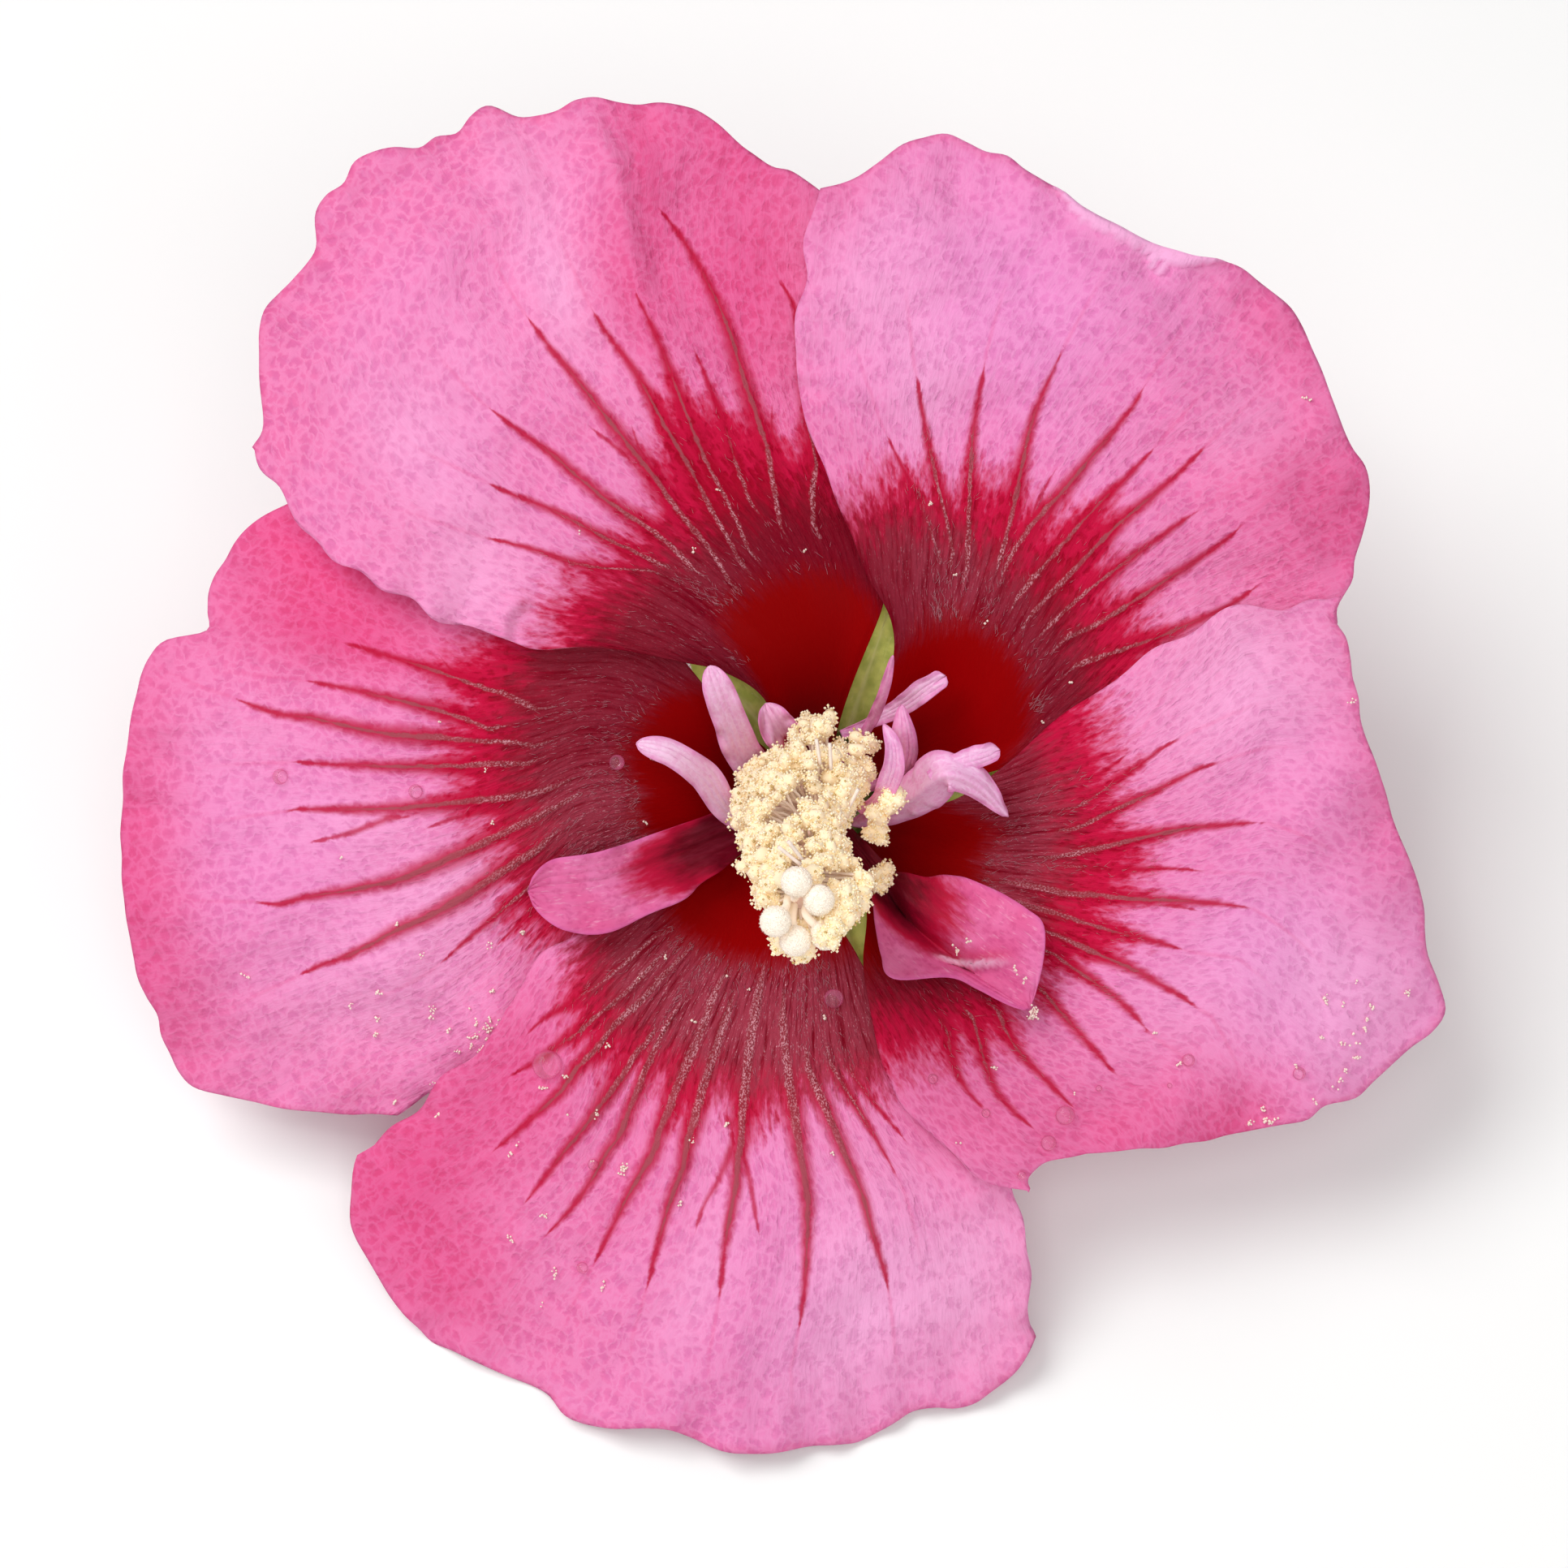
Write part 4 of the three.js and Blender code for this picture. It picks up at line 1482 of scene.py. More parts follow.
PETAL_UPPER_LEFT = Petal(
    name="petal_upper_left",
    left=(
        (4, 127), (9, 122), (12.5, 129), (15.3, 137), (18.5, 143), (25.5, 153), (38, 154.5), (46, 151.9),
        (48.2, 150.3), (50.5, 148),
    ),
    right=((4, 82), (14.5, 74), (20, 77), (28, 84), (40, 87)),
    rim=(
        50.8, 50.9, 52.2, 53.4, 54.5, 55.7, 56.5, 56.6, 56.5, 56.6, 57.2, 59.0, 59.5, 59.4, 60.2, 60.0, 59.4,
        58.4, 58.6, 58.1, 58.7, 58.8, 57.1, 56.4, 56.1, 56.4, 56.2, 55.4, 54.8, 54.6, 54.1, 53.4, 52.1, 50.4,
        49.3, 48.3, 47.9, 47.0, 46.0, 45.0, 44.0,
    ),
    over=(1, -1), droop=0.5, waves=(3.5, 0.7, 0.3), hang=(0.5, 3),
    veins=(
        Vein(((0.13, 21), (0.11, 25)), 0.4), Vein(((0.3, 21.5), (0.24, 25), (0.21, 29), (0.17, 33)), 0.85),
        Vein(((0.33, 22), (0.325, 25), (0.3, 30), (0.27, 33), (0.25, 35.5))),
        Vein(((0.37, 20), (0.405, 24), (0.395, 28), (0.38, 33), (0.36, 36.5), (0.345, 39.5))),
        Vein(((0.42, 18), (0.47, 22), (0.505, 27), (0.505, 31), (0.495, 36), (0.485, 40), (0.47, 43.5))),
        Vein(((0.5, 19), (0.56, 24), (0.585, 27), (0.592, 31), (0.59, 35), (0.58, 38), (0.57, 41.5))),
        Vein(((0.55, 20), (0.6, 23.5), (0.63, 28), (0.643, 32), (0.648, 37), (0.645, 41.5))),
        Vein(((0.65, 23), (0.68, 26), (0.7, 29), (0.703, 33), (0.7, 36)), 0.8),
        Vein(
            (
                (0.68, 21), (0.73, 24), (0.765, 27), (0.77, 31), (0.77, 36), (0.76, 40), (0.735, 43.5),
                (0.7, 47),
            ),
        ),
        Vein(((0.78, 21), (0.82, 23.5), (0.86, 25.5), (0.885, 31), (0.89, 37), (0.87, 40))),
    ),
    twigs=(
        Vein(((0.49, 30), (0.46, 34)), 0.7), Vein(((0.52, 30), (0.54, 32.5)), 0.7),
        Vein(((0.79, 28), (0.82, 31)), 0.7),
    ),
    eye=(
        (0, 24.5), (0.05, 25), (0.1, 26), (0.15, 25.5), (0.2, 25), (0.25, 24), (0.35, 24.3), (0.45, 25),
        (0.55, 29), (0.62, 32), (0.67, 31), (0.73, 29.5), (0.8, 27.5), (0.85, 26.8), (1, 27),
    ),
    maroon=((0, 21.5), (0.2, 22), (0.5, 22), (0.8, 23), (1, 23)),
    throat=(
        (0, 9), (0.1, 11.5), (0.2, 14.5), (0.3, 16.5), (0.4, 17), (0.6, 17.5), (0.75, 17.5), (0.85, 17),
        (1, 15),
    ),
    down=((0, 0.3), (0.35, 0.45), (0.6, 0.15), (1, 0.15)),
    rose=(
        Tint(0.82, 38, 0.15, 8, 0.75), Tint(0.84, 52, 0.14, 9, 0.75), Tint(0.69, 50, 0.04, 10, 0.5),
        Tint(0.63, 40, 0.04, 6, 0.5),
    ),
    pale=(
        Tint(0.08, 31, 0.13, 5, 0.9), Tint(0.22, 40, 0.09, 7, 0.7), Tint(0.53, 46, 0.05, 9, 0.9),
        Tint(0.93, 38, 0.07, 7, 0.8), Tint(0.38, 42, 0.08, 5, 0.3),
    ),
    lilac=(Tint(0.3, 42, 0.2, 14, 0.25),),
    creases=(
        Crease(((0, 27.2), (0.06, 27.8), (0.12, 27)), 0.8, 0.5, level=True),
        Crease(((38, 0.66), (47, 0.65), (57, 0.63)), 0.9, 1.1), Crease(((40, 0.57), (57, 0.58)), -0.5, 2.2),
        Crease(((40, 0.8), (57, 0.78)), 0.4, 1.4),
    ),
    seed=1,
)

PETAL_UPPER_RIGHT = Petal(
    name="petal_upper_right",
    left=((4, 68), (8.2, 61), (12, 65), (14.3, 70), (17.6, 81), (27, 92.5), (34, 94), (45, 91)),
    right=((4, 11), (10, 9), (14, 10), (20, 14), (28, 17), (40, 17)),
    rim=(
        46.0, 46.4, 47.1, 48.2, 49.8, 50.6, 51.2, 50.9, 50.5, 50.6, 49.9, 49.5, 49.3, 48.7, 48.5, 48.5, 48.5,
        48.7, 49.1, 49.6, 50.5, 51.1, 51.2, 51.3, 51.3, 50.9, 50.2, 49.6, 49.0, 48.4, 48.0, 47.8, 47.9, 47.5,
        46.6, 45.3, 43.9, 43.0, 41.3, 40.8, 39.5,
    ),
    over=(1, -1), droop=1.5, waves=(2.5, 0.8, 1.9), hang=(0.8, 1.4),
    veins=(
        Vein(((0.28, 20), (0.22, 23.5), (0.18, 26), (0.15, 28.5)), 0.8),
        Vein(((0.32, 21), (0.275, 24.5), (0.245, 28), (0.22, 31), (0.2, 33))),
        Vein(((0.37, 20.5), (0.35, 25), (0.335, 29), (0.32, 32.5), (0.305, 35.5))),
        Vein(((0.465, 22), (0.455, 26), (0.44, 29.5), (0.42, 33), (0.41, 36), (0.403, 38.5))),
        Vein(((0.48, 22.5), (0.51, 26), (0.535, 29), (0.542, 33), (0.54, 37), (0.528, 40))),
        Vein(((0.55, 21), (0.58, 24.5), (0.6, 28), (0.61, 32), (0.61, 35), (0.605, 37))),
        Vein(((0.61, 20.5), (0.635, 24), (0.65, 27), (0.66, 31), (0.665, 35), (0.655, 39.5))),
        Vein(((0.67, 21), (0.7, 25.5), (0.715, 28), (0.725, 32), (0.73, 36))),
        Vein(((0.73, 21.5), (0.77, 24.5), (0.79, 28), (0.795, 32), (0.79, 36), (0.78, 38))),
        Vein(((0.81, 21.5), (0.85, 24.5), (0.88, 28), (0.89, 33), (0.875, 37))),
        Vein(((0.83, 18), (0.87, 20.5), (0.91, 22.5)), 0.6),
    ),
    twigs=(Vein(((0.36, 25), (0.37, 28)), 0.7), Vein(((0.5, 28), (0.505, 31)), 0.7)),
    eye=(
        (0, 22), (0.1, 24), (0.15, 25), (0.2, 25), (0.25, 24.5), (0.3, 24.5), (0.4, 27), (0.43, 27.5),
        (0.5, 26), (0.57, 27.5), (0.63, 30), (0.68, 27.5), (0.75, 26), (0.83, 27), (0.9, 27), (1, 26),
    ),
    maroon=((0, 20.5), (0.2, 22), (0.8, 22.5), (1, 21)),
    throat=(
        (0, 12), (0.1, 14), (0.2, 15.5), (0.3, 16.5), (0.4, 17.5), (0.55, 18), (0.7, 18), (0.85, 17), (1, 14),
    ),
    down=((0, 0.35), (0.35, 0.9), (0.55, 0.5), (1, 0.35)),
    rose=(Tint(0.84, 44, 0.13, 8, 0.65), Tint(0.62, 50, 0.1, 4, 0.45), Tint(0.02, 48, 0.05, 6, 0.4)),
    pale=(
        Tint(0.4, 49, 0.08, 1.6, 0.9), Tint(0.1, 40, 0.1, 7, 0.6), Tint(0.22, 32, 0.08, 6, 0.6),
        Tint(0.93, 31, 0.1, 8, 0.5), Tint(0.68, 42, 0.06, 4, 0.4),
    ),
    lilac=(Tint(0.3, 40, 0.28, 14, 0.7),),
    creases=(
        Crease(((0.0, 32), (0.07, 31), (0.14, 29.5)), 0.5, 0.6, level=True),
        Crease(((0.0, 37), (0.05, 36.4), (0.1, 35)), 0.4, 0.6, level=True),
        Crease(((38, 0.74), (51, 0.73)), 0.6, 2.0),
    ),
    turned=(
        (0.28, 0), (0.33, 0.9), (0.4, 0.8), (0.425, 1.0), (0.44, 1.8), (0.46, 1.1), (0.5, 0.2), (0.52, 0),
    ),
    seed=2,
)

PETAL_RIGHT = Petal(
    name="petal_right",
    left=((4, -5), (9, -2), (13, 9), (18, 19), (24, 22.8), (28.2, 25), (34.2, 24.7), (40.3, 21.5)),
    right=((4, -66), (8.4, -69), (12.3, -77), (15.5, -78.5), (21.5, -77.7), (28.8, -70.2), (33, -63.5)),
    rim=(
        41.6, 40.5, 40.8, 40.7, 40.5, 40.6, 40.5, 40.7, 41.1, 41.6, 42.2, 42.7, 43.4, 44.3, 45.3, 46.1, 46.5,
        47.2, 48.6, 49.8, 49.4, 48.2, 47.3, 46.6, 45.9, 44.0, 43.5, 42.0, 40.6, 39.4, 38.5, 37.3, 36.4, 35.2,
        34.3, 33.5, 32.7, 31.8, 31.9, 32.4, 33.2,
    ),
    over=(1, 1), droop=3, waves=(2.5, 0.8, 4.2), hang=(0.5, 2),
    veins=(
        Vein(((0.16, 20.5), (0.14, 22.5), (0.11, 24)), 0.5),
        Vein(((0.22, 19), (0.18, 22), (0.155, 25), (0.15, 27.5)), 0.8),
        Vein(((0.27, 19), (0.235, 22), (0.22, 25), (0.21, 28), (0.208, 30))),
        Vein(((0.34, 18), (0.315, 21), (0.3, 24), (0.303, 28), (0.31, 31), (0.318, 33.5))),
        Vein(((0.36, 19), (0.36, 23), (0.365, 26), (0.38, 29.5)), 0.6, ridge_end=6),
        Vein(((0.42, 16), (0.425, 19), (0.415, 22), (0.42, 26), (0.43, 30), (0.448, 33.5))),
        Vein(((0.475, 17), (0.475, 21), (0.485, 25), (0.5, 28), (0.51, 30))),
        Vein(((0.52, 20.5), (0.53, 23.5), (0.545, 26), (0.58, 30), (0.61, 32.5))),
        Vein(((0.56, 21), (0.59, 25), (0.625, 28), (0.66, 30.5))),
        Vein(((0.64, 22), (0.68, 25.5), (0.71, 28), (0.74, 30.5))),
        Vein(((0.73, 20.5), (0.76, 23), (0.79, 27), (0.82, 30.5))),
        Vein(((0.78, 20), (0.83, 23.5), (0.86, 26), (0.88, 30))), Vein(((0.84, 19.5), (0.88, 23), (0.9, 27))),
    ),
    twigs=(Vein(((0.43, 27), (0.445, 30)), 0.7),),
    eye=(
        (0, 22), (0.1, 22), (0.15, 22), (0.2, 21), (0.25, 21.5), (0.33, 24), (0.4, 23.5), (0.45, 22.5),
        (0.5, 24.5), (0.57, 21.5), (0.7, 21), (0.78, 21.5), (0.85, 20.5), (0.95, 21.5), (1, 21.5),
    ),
    maroon=((0, 16), (0.2, 18), (0.6, 18), (1, 16)),
    throat=((0, 9), (0.05, 10), (0.15, 12), (0.25, 13.5), (0.35, 13), (0.45, 14), (0.7, 14.5), (1, 13.5)),
    down=((0, 0.9), (0.4, 1), (0.6, 1), (0.8, 0.5), (1, 0.4)),
    rose=(
        Tint(0.84, 34, 0.16, 7, 0.62), Tint(0.2, 43, 0.14, 3.5, 0.4), Tint(0.72, 40, 0.08, 3.5, 0.6),
        Tint(0.93, 25, 0.08, 4, 0.4),
    ),
    pale=(Tint(0.5, 42, 0.12, 10, 0.8), Tint(0.1, 32, 0.14, 9, 0.9), Tint(0.62, 32, 0.1, 5, 0.4)),
    lilac=(Tint(0.5, 38, 0.16, 12, 0.75), Tint(0.2, 34, 0.1, 8, 0.3)),
    creases=(Crease(((36, 0.46), (50, 0.47)), 0.6, 1.6), Crease(((28, 0.3), (42, 0.3)), 0.35, 1.8)), seed=3,
)

PETAL_LOWER = Petal(
    name="petal_lower",
    left=((4, -86), (8.5, -86), (12.2, -79), (20, -70), (28, -64.5), (34.8, -65), (43, -69)),
    right=((4, -145), (12, -148), (22.8, -152), (27, -149), (30.5, -145.2), (43.7, -142.5)),
    rim=(
        44.0, 45.6, 46.4, 46.9, 47.5, 47.5, 47.1, 47.1, 47.7, 48.4, 49.0, 49.0, 49.1, 49.3, 49.6, 49.8, 49.9,
        49.8, 49.4, 49.1, 49.4, 50.0, 50.6, 51.0, 51.0, 50.3, 50.3, 50.5, 50.7, 50.9, 51.2, 51.7, 51.4, 51.2,
        50.9, 50.4, 50.0, 49.6, 48.9, 47.7, 45.3,
    ),
    over=(-1, 1), droop=2.2, waves=(1.35, 1.4, -1.8), hang=(2.2, 7.4),
    veins=(
        Vein(((0.19, 21), (0.16, 24), (0.135, 27.5)), 0.7),
        Vein(((0.24, 20), (0.21, 23), (0.195, 26), (0.185, 29.5))),
        Vein(((0.3, 20.5), (0.275, 23.5), (0.262, 28), (0.25, 32), (0.23, 35.5), (0.215, 38))),
        Vein(((0.37, 16.5), (0.355, 20), (0.345, 23.5), (0.35, 27), (0.355, 31), (0.35, 35), (0.34, 40.5))),
        Vein(
            (
                (0.47, 15), (0.46, 19), (0.455, 23), (0.465, 26.5), (0.48, 29.5), (0.483, 33), (0.475, 36),
                (0.462, 39),
            ),
        ),
        Vein(((0.55, 18), (0.545, 22), (0.555, 25.5), (0.575, 28.5), (0.587, 32), (0.58, 36), (0.565, 40))),
        Vein(((0.61, 16.5), (0.595, 21), (0.605, 25), (0.63, 28.5), (0.65, 32), (0.655, 36), (0.65, 40))),
        Vein(((0.69, 20), (0.68, 24), (0.695, 28), (0.715, 31), (0.72, 35), (0.735, 40))),
        Vein(((0.7, 23), (0.735, 27), (0.765, 29.5), (0.78, 33), (0.785, 39))),
        Vein(((0.78, 17), (0.777, 21), (0.79, 25), (0.82, 28), (0.845, 31), (0.86, 34), (0.872, 37.5))),
        Vein(((0.825, 18), (0.815, 21), (0.83, 24.5), (0.87, 27.5), (0.91, 30), (0.935, 32.5))),
        Vein(((0.885, 17), (0.87, 21), (0.88, 24), (0.92, 27), (0.95, 29.5)), 0.8),
    ),
    twigs=(
        Vein(((0.4, 24), (0.4, 26.5)), 0.8), Vein(((0.46, 28), (0.45, 30.5), (0.425, 34)), 0.7),
        Vein(((0.48, 27), (0.51, 29.5), (0.53, 32), (0.532, 35)), 0.7),
    ),
    eye=(
        (0, 21.5), (0.1, 22), (0.15, 22), (0.2, 21), (0.24, 20.5), (0.3, 21.5), (0.4, 24), (0.42, 25),
        (0.5, 24), (0.53, 23.5), (0.57, 26), (0.65, 24.5), (0.7, 24), (0.75, 26), (0.8, 25.5), (0.9, 24.5),
        (1, 21.5),
    ),
    maroon=((0, 19.5), (0.3, 21.5), (0.6, 22.5), (0.8, 22.5), (1, 21)),
    throat=((0, 12), (0.3, 13), (0.5, 14), (0.6, 14.5), (0.7, 15), (0.9, 15.5), (1, 14)),
    down=((0, 1.3), (0.2, 1.5), (0.6, 1.5), (0.75, 1.1), (1, 0.6)),
    rose=(
        Tint(0.94, 43, 0.14, 12, 0.9), Tint(0.04, 25, 0.08, 5, 0.5), Tint(0.78, 47, 0.08, 5, 0.5),
        Tint(0.66, 35, 0.03, 6, 0.3), Tint(0.9, 30, 0.12, 5, 0.5),
    ),
    pale=(Tint(0.1, 38, 0.14, 9, 0.9), Tint(0.28, 38, 0.1, 10, 0.75), Tint(0.5, 37, 0.05, 8, 0.5)),
    lilac=(Tint(0.35, 38, 0.22, 13, 0.45),),
    creases=(
        Crease(((30, 0.42), (50, 0.44)), 0.5, 2.0), Crease(((32, 0.68), (50, 0.69)), 0.5, 2.0),
        Crease(((32, 0.9), (50, 0.88)), -0.5, 2.0),
    ),
    seed=4,
)

PETAL_LEFT = Petal(
    name="petal_left",
    left=((4, 190), (9, 194), (13, 199), (19, 206), (23, 214), (31, 219), (40, 216)),
    right=((4, 141), (10, 139), (15, 136), (18, 136), (22, 140), (28, 146), (48, 150)),
    rim=(
        40.9, 43.0, 44.8, 46.7, 48.6, 50.2, 52.0, 53.8, 54.4, 54.5, 54.5, 54.1, 54.4, 54.6, 54.5, 54.4, 54.3,
        54.2, 54.2, 54.1, 54.2, 54.1, 53.9, 53.8, 53.6, 53.5, 53.4, 53.3, 53.3, 52.9, 51.9, 49.1, 49.5, 49.9,
        49.9, 49.5, 49.3, 48.9, 48.2, 47.2, 46.2,
    ),
    over=(-1, -1), droop=3, waves=(3, 0.8, 0.9), hang=(6, 1.5),
    veins=(
        Vein(((0.135, 24), (0.14, 27)), 0.4), Vein(((0.2, 24), (0.19, 28.5)), 0.5),
        Vein(((0.25, 23), (0.25, 26.5), (0.24, 29.5), (0.22, 32.5)), 0.8),
        Vein(((0.32, 22), (0.328, 26), (0.32, 30), (0.305, 34), (0.285, 36.5), (0.27, 39), (0.262, 43))),
        Vein(((0.39, 20), (0.41, 24.5), (0.41, 29), (0.395, 34), (0.383, 38), (0.377, 42), (0.39, 44.5))),
        Vein(((0.45, 20.5), (0.49, 24), (0.52, 27.5), (0.527, 32), (0.525, 36), (0.517, 41.5))),
        Vein(((0.56, 23), (0.59, 26), (0.605, 30), (0.605, 34), (0.598, 38), (0.595, 41))),
        Vein(((0.6, 22.5), (0.64, 25.5), (0.66, 29), (0.665, 34), (0.668, 39), (0.67, 42), (0.69, 46))),
        Vein(((0.67, 26), (0.7, 28), (0.72, 31), (0.728, 35), (0.725, 41))),
        Vein(((0.7, 23), (0.75, 25.5), (0.78, 28.5), (0.795, 32), (0.8, 36), (0.8, 39))),
        Vein(((0.79, 21), (0.83, 23.5), (0.87, 26)), 0.8),
    ),
    twigs=(
        Vein(((0.478, 25), (0.49, 28), (0.478, 31)), 0.9), Vein(((0.51, 33), (0.485, 36), (0.46, 40)), 0.7),
        Vein(((0.8, 30), (0.84, 32)), 0.7),
    ),
    eye=(
        (0, 23), (0.1, 24), (0.15, 25), (0.2, 25.5), (0.28, 24.5), (0.37, 24.5), (0.45, 26), (0.5, 27),
        (0.56, 27.5), (0.63, 28), (0.69, 28), (0.75, 29), (0.82, 30), (0.9, 29), (1, 27),
    ),
    maroon=((0, 21), (0.3, 22), (0.8, 25), (1, 24)),
    throat=((0, 12), (0.05, 12.5), (0.1, 14), (0.25, 15), (0.35, 14.5), (0.5, 16), (0.8, 15), (1, 13)),
    down=((0, 1), (0.2, 1.6), (0.4, 1), (0.6, 0.5), (1, 0.5)),
    rose=(Tint(0.45, 54, 0.3, 5, 0.8), Tint(0.94, 42, 0.12, 12, 1.0), Tint(0.8, 38, 0.07, 9, 0.7)),
    pale=(
        Tint(0.22, 36, 0.12, 9, 0.7), Tint(0.36, 30, 0.08, 6, 0.6), Tint(0.5, 36, 0.06, 7, 0.5),
        Tint(0.62, 45, 0.06, 5, 0.3),
    ),
    lilac=(Tint(0.45, 40, 0.22, 12, 0.45),),
    creases=(Crease(((30, 0.24), (52, 0.22)), 0.5, 2.0), Crease(((36, 0.8), (50, 0.78)), 0.5, 1.8)), seed=5,
)

PETALS: tuple[Petal, ...] = (PETAL_UPPER_LEFT, PETAL_UPPER_RIGHT, PETAL_RIGHT, PETAL_LOWER, PETAL_LEFT)


# ---------------------------------------------------------------- petaloids


@dataclass(frozen=True)
class Petaloid:
    """One petaloid: a narrow sheet along a line, with its margins at even steps along it.

    left and right are how far the margins lie to either side of the line, seen along it from above.
    fold is the rise of the margins as a share of their distance, crease the depth of a fold line along
    its middle, notch that of its tip's notch, and round the share of its length that its tip takes to
    round off. power is that by which the fold grows, and flap how much more the right margin rises.
    claw is the share of its length at which the dark red has run out, rosy how pink the blade is, and
    light how pale its middle. lip is a raised line with a painted highlight and painted shade beside it:
    how far from the line it lies at shares along it.
    """

    name: str
    line: tuple[Point, ...]
    left: tuple[float, ...]
    right: tuple[float, ...]
    fold: float = 0.0
    round: float = 0.12
    notch: float = 0.0
    claw: float = 0.0
    rosy: float = 0.0
    light: float = 0.5
    frill: float = 0.12
    frill_pitch: float = 2.4
    ribs: int = 5
    crease: float = 0.0
    power: float = 1.5
    flap: float = 0.0
    lip: Stations = ()
    seed: int = 1
    thickness: float = 0.22
    columns: int = 40
    rows: int = 88
    rib_height: float = 0.05
    lip_height: float = 1.2
    lip_width: float = 0.22
    crease_width: float = 0.55
    notch_width: float = 0.3
    stands_for: bool = True

    def ridge(self, offset: Array, run: Array) -> tuple[Array, Array]:
        """The raised lip with its painted highlight, and the painted shade in the hollow beside it and in a
        deep crease.

        Args:
            offset: distance from the line.
            run: share along it.

        Returns:
            How much a place belongs to the lip, which is raised and painted lighter as a highlight, and how
            much to the painted shade of a hollow.
        """
        lip = np.zeros_like(offset)
        deep = self.crease > 1
        painted_hollow_shade = np.exp(-np.abs(offset) / 0.3) * deep * ramp(run, 0.1, 0.3) * (1 - ramp(run, 0.7, 0.8))
        if self.lip:
            start, end = self.lip[0][0], self.lip[-1][0]
            present = ramp(run, start, start + 0.06) * (1 - ramp(run, end - 0.1, end))
            centre = along(self.lip, run)
            lip = hump(offset, centre, self.lip_width) * present
            painted_hollow_shade = painted_hollow_shade + 0.8 * hump(offset, centre - 0.7, 0.5) * present
        return lip, np.minimum(painted_hollow_shade, 1)

    def mesh(self) -> MeshData:
        """The petaloid as a thin closed shell.

        At a share along the line and a place across it, the point is the line's point, plus the side
        direction times the distance, plus the up direction times the fold, fine ribs and a frill.

        Returns:
            The closed mesh.
        """
        spine = Spine(self.line)
        t = np.linspace(0, 1, self.rows)
        across, run = np.meshgrid(np.linspace(-1, 1, self.columns), t)
        left, right = along(evenly(self.left), run), along(evenly(self.right), run)
        margin = np.where(across < 0, left, right)
        half = (left + right) / 2
        length = run * spine.length
        wide = np.abs(across)
        tip = np.clip((run - 1 + self.round) / self.round, 0, 1)
        rounding = np.sqrt(np.maximum(1 - tip**2, 0.003))
        rough = 1 + 0.04 * ripple(self.seed + 70, 0.26, run, np.sign(across) * 0.3) * ramp(run, 0.2, 0.5)
        offset = across * margin * rounding * rough
        away = np.abs(offset)
        ahead = spine.ahead(t)
        side = unit(np.cross(ahead, (0, 0, 1.0)))
        up = np.cross(side, ahead)
        lip, painted_hollow_shade = self.ridge(offset, run)

        rise = self.fold * away**self.power / np.maximum(half, 0.3) ** (self.power - 1)
        rise += self.flap * np.maximum(offset, 0) * ramp(run, 0.2, 0.5)
        rise += self.rib_height * np.cos(np.pi * self.ribs * across) * (1 - across**2) * ramp(half, 0.3, 1.0)
        rise += self.frill * ripple(self.seed, self.frill_pitch, offset, length) * ramp(wide, 0.2, 1)
        sink = self.crease * np.exp(-away / self.crease_width)
        rise -= sink * ramp(run, 0.15, 0.4) * (1 - ramp(run, 0.68, 0.86))
        rise += self.lip_height * lip
        back = self.notch * hump(across, 0.1, self.notch_width) * ramp(run, 0.75, 1)
        middle = spine.at(t)[:, None] + offset[..., None] * side[:, None] + rise[..., None] * up[:, None]
        middle -= back[..., None] * ahead[:, None]
        normal = grid_normals(middle)
        rim = (1 - wide) * margin
        half_thick = self.thickness / 2 * (0.35 + 0.65 * ramp(np.minimum(rim, spine.length - length), 0, 0.5))
        bare = 1 - (self.flap > 0) * ramp(offset, 0.5, 2.8)
        facts = {
            "claw": np.clip((self.claw - run - 0.18 * wide**3) / 0.5, 0, 1) * bare,
            "rosy": np.full_like(across, self.rosy),
            "lip": lip,
            "painted_hollow_shade": painted_hollow_shade,
            "light": self.light * hump(across, 0, 1.1) * ramp(run, 0.05, 0.3),
            "rim": 1 - ramp(rim, 0.04, 0.42),
            "fan": np.stack([offset, length, np.full_like(across, 10.0 * self.seed)], -1),
        }
        step = normal * half_thick[..., None]
        return shell(middle + step, middle - step, facts)


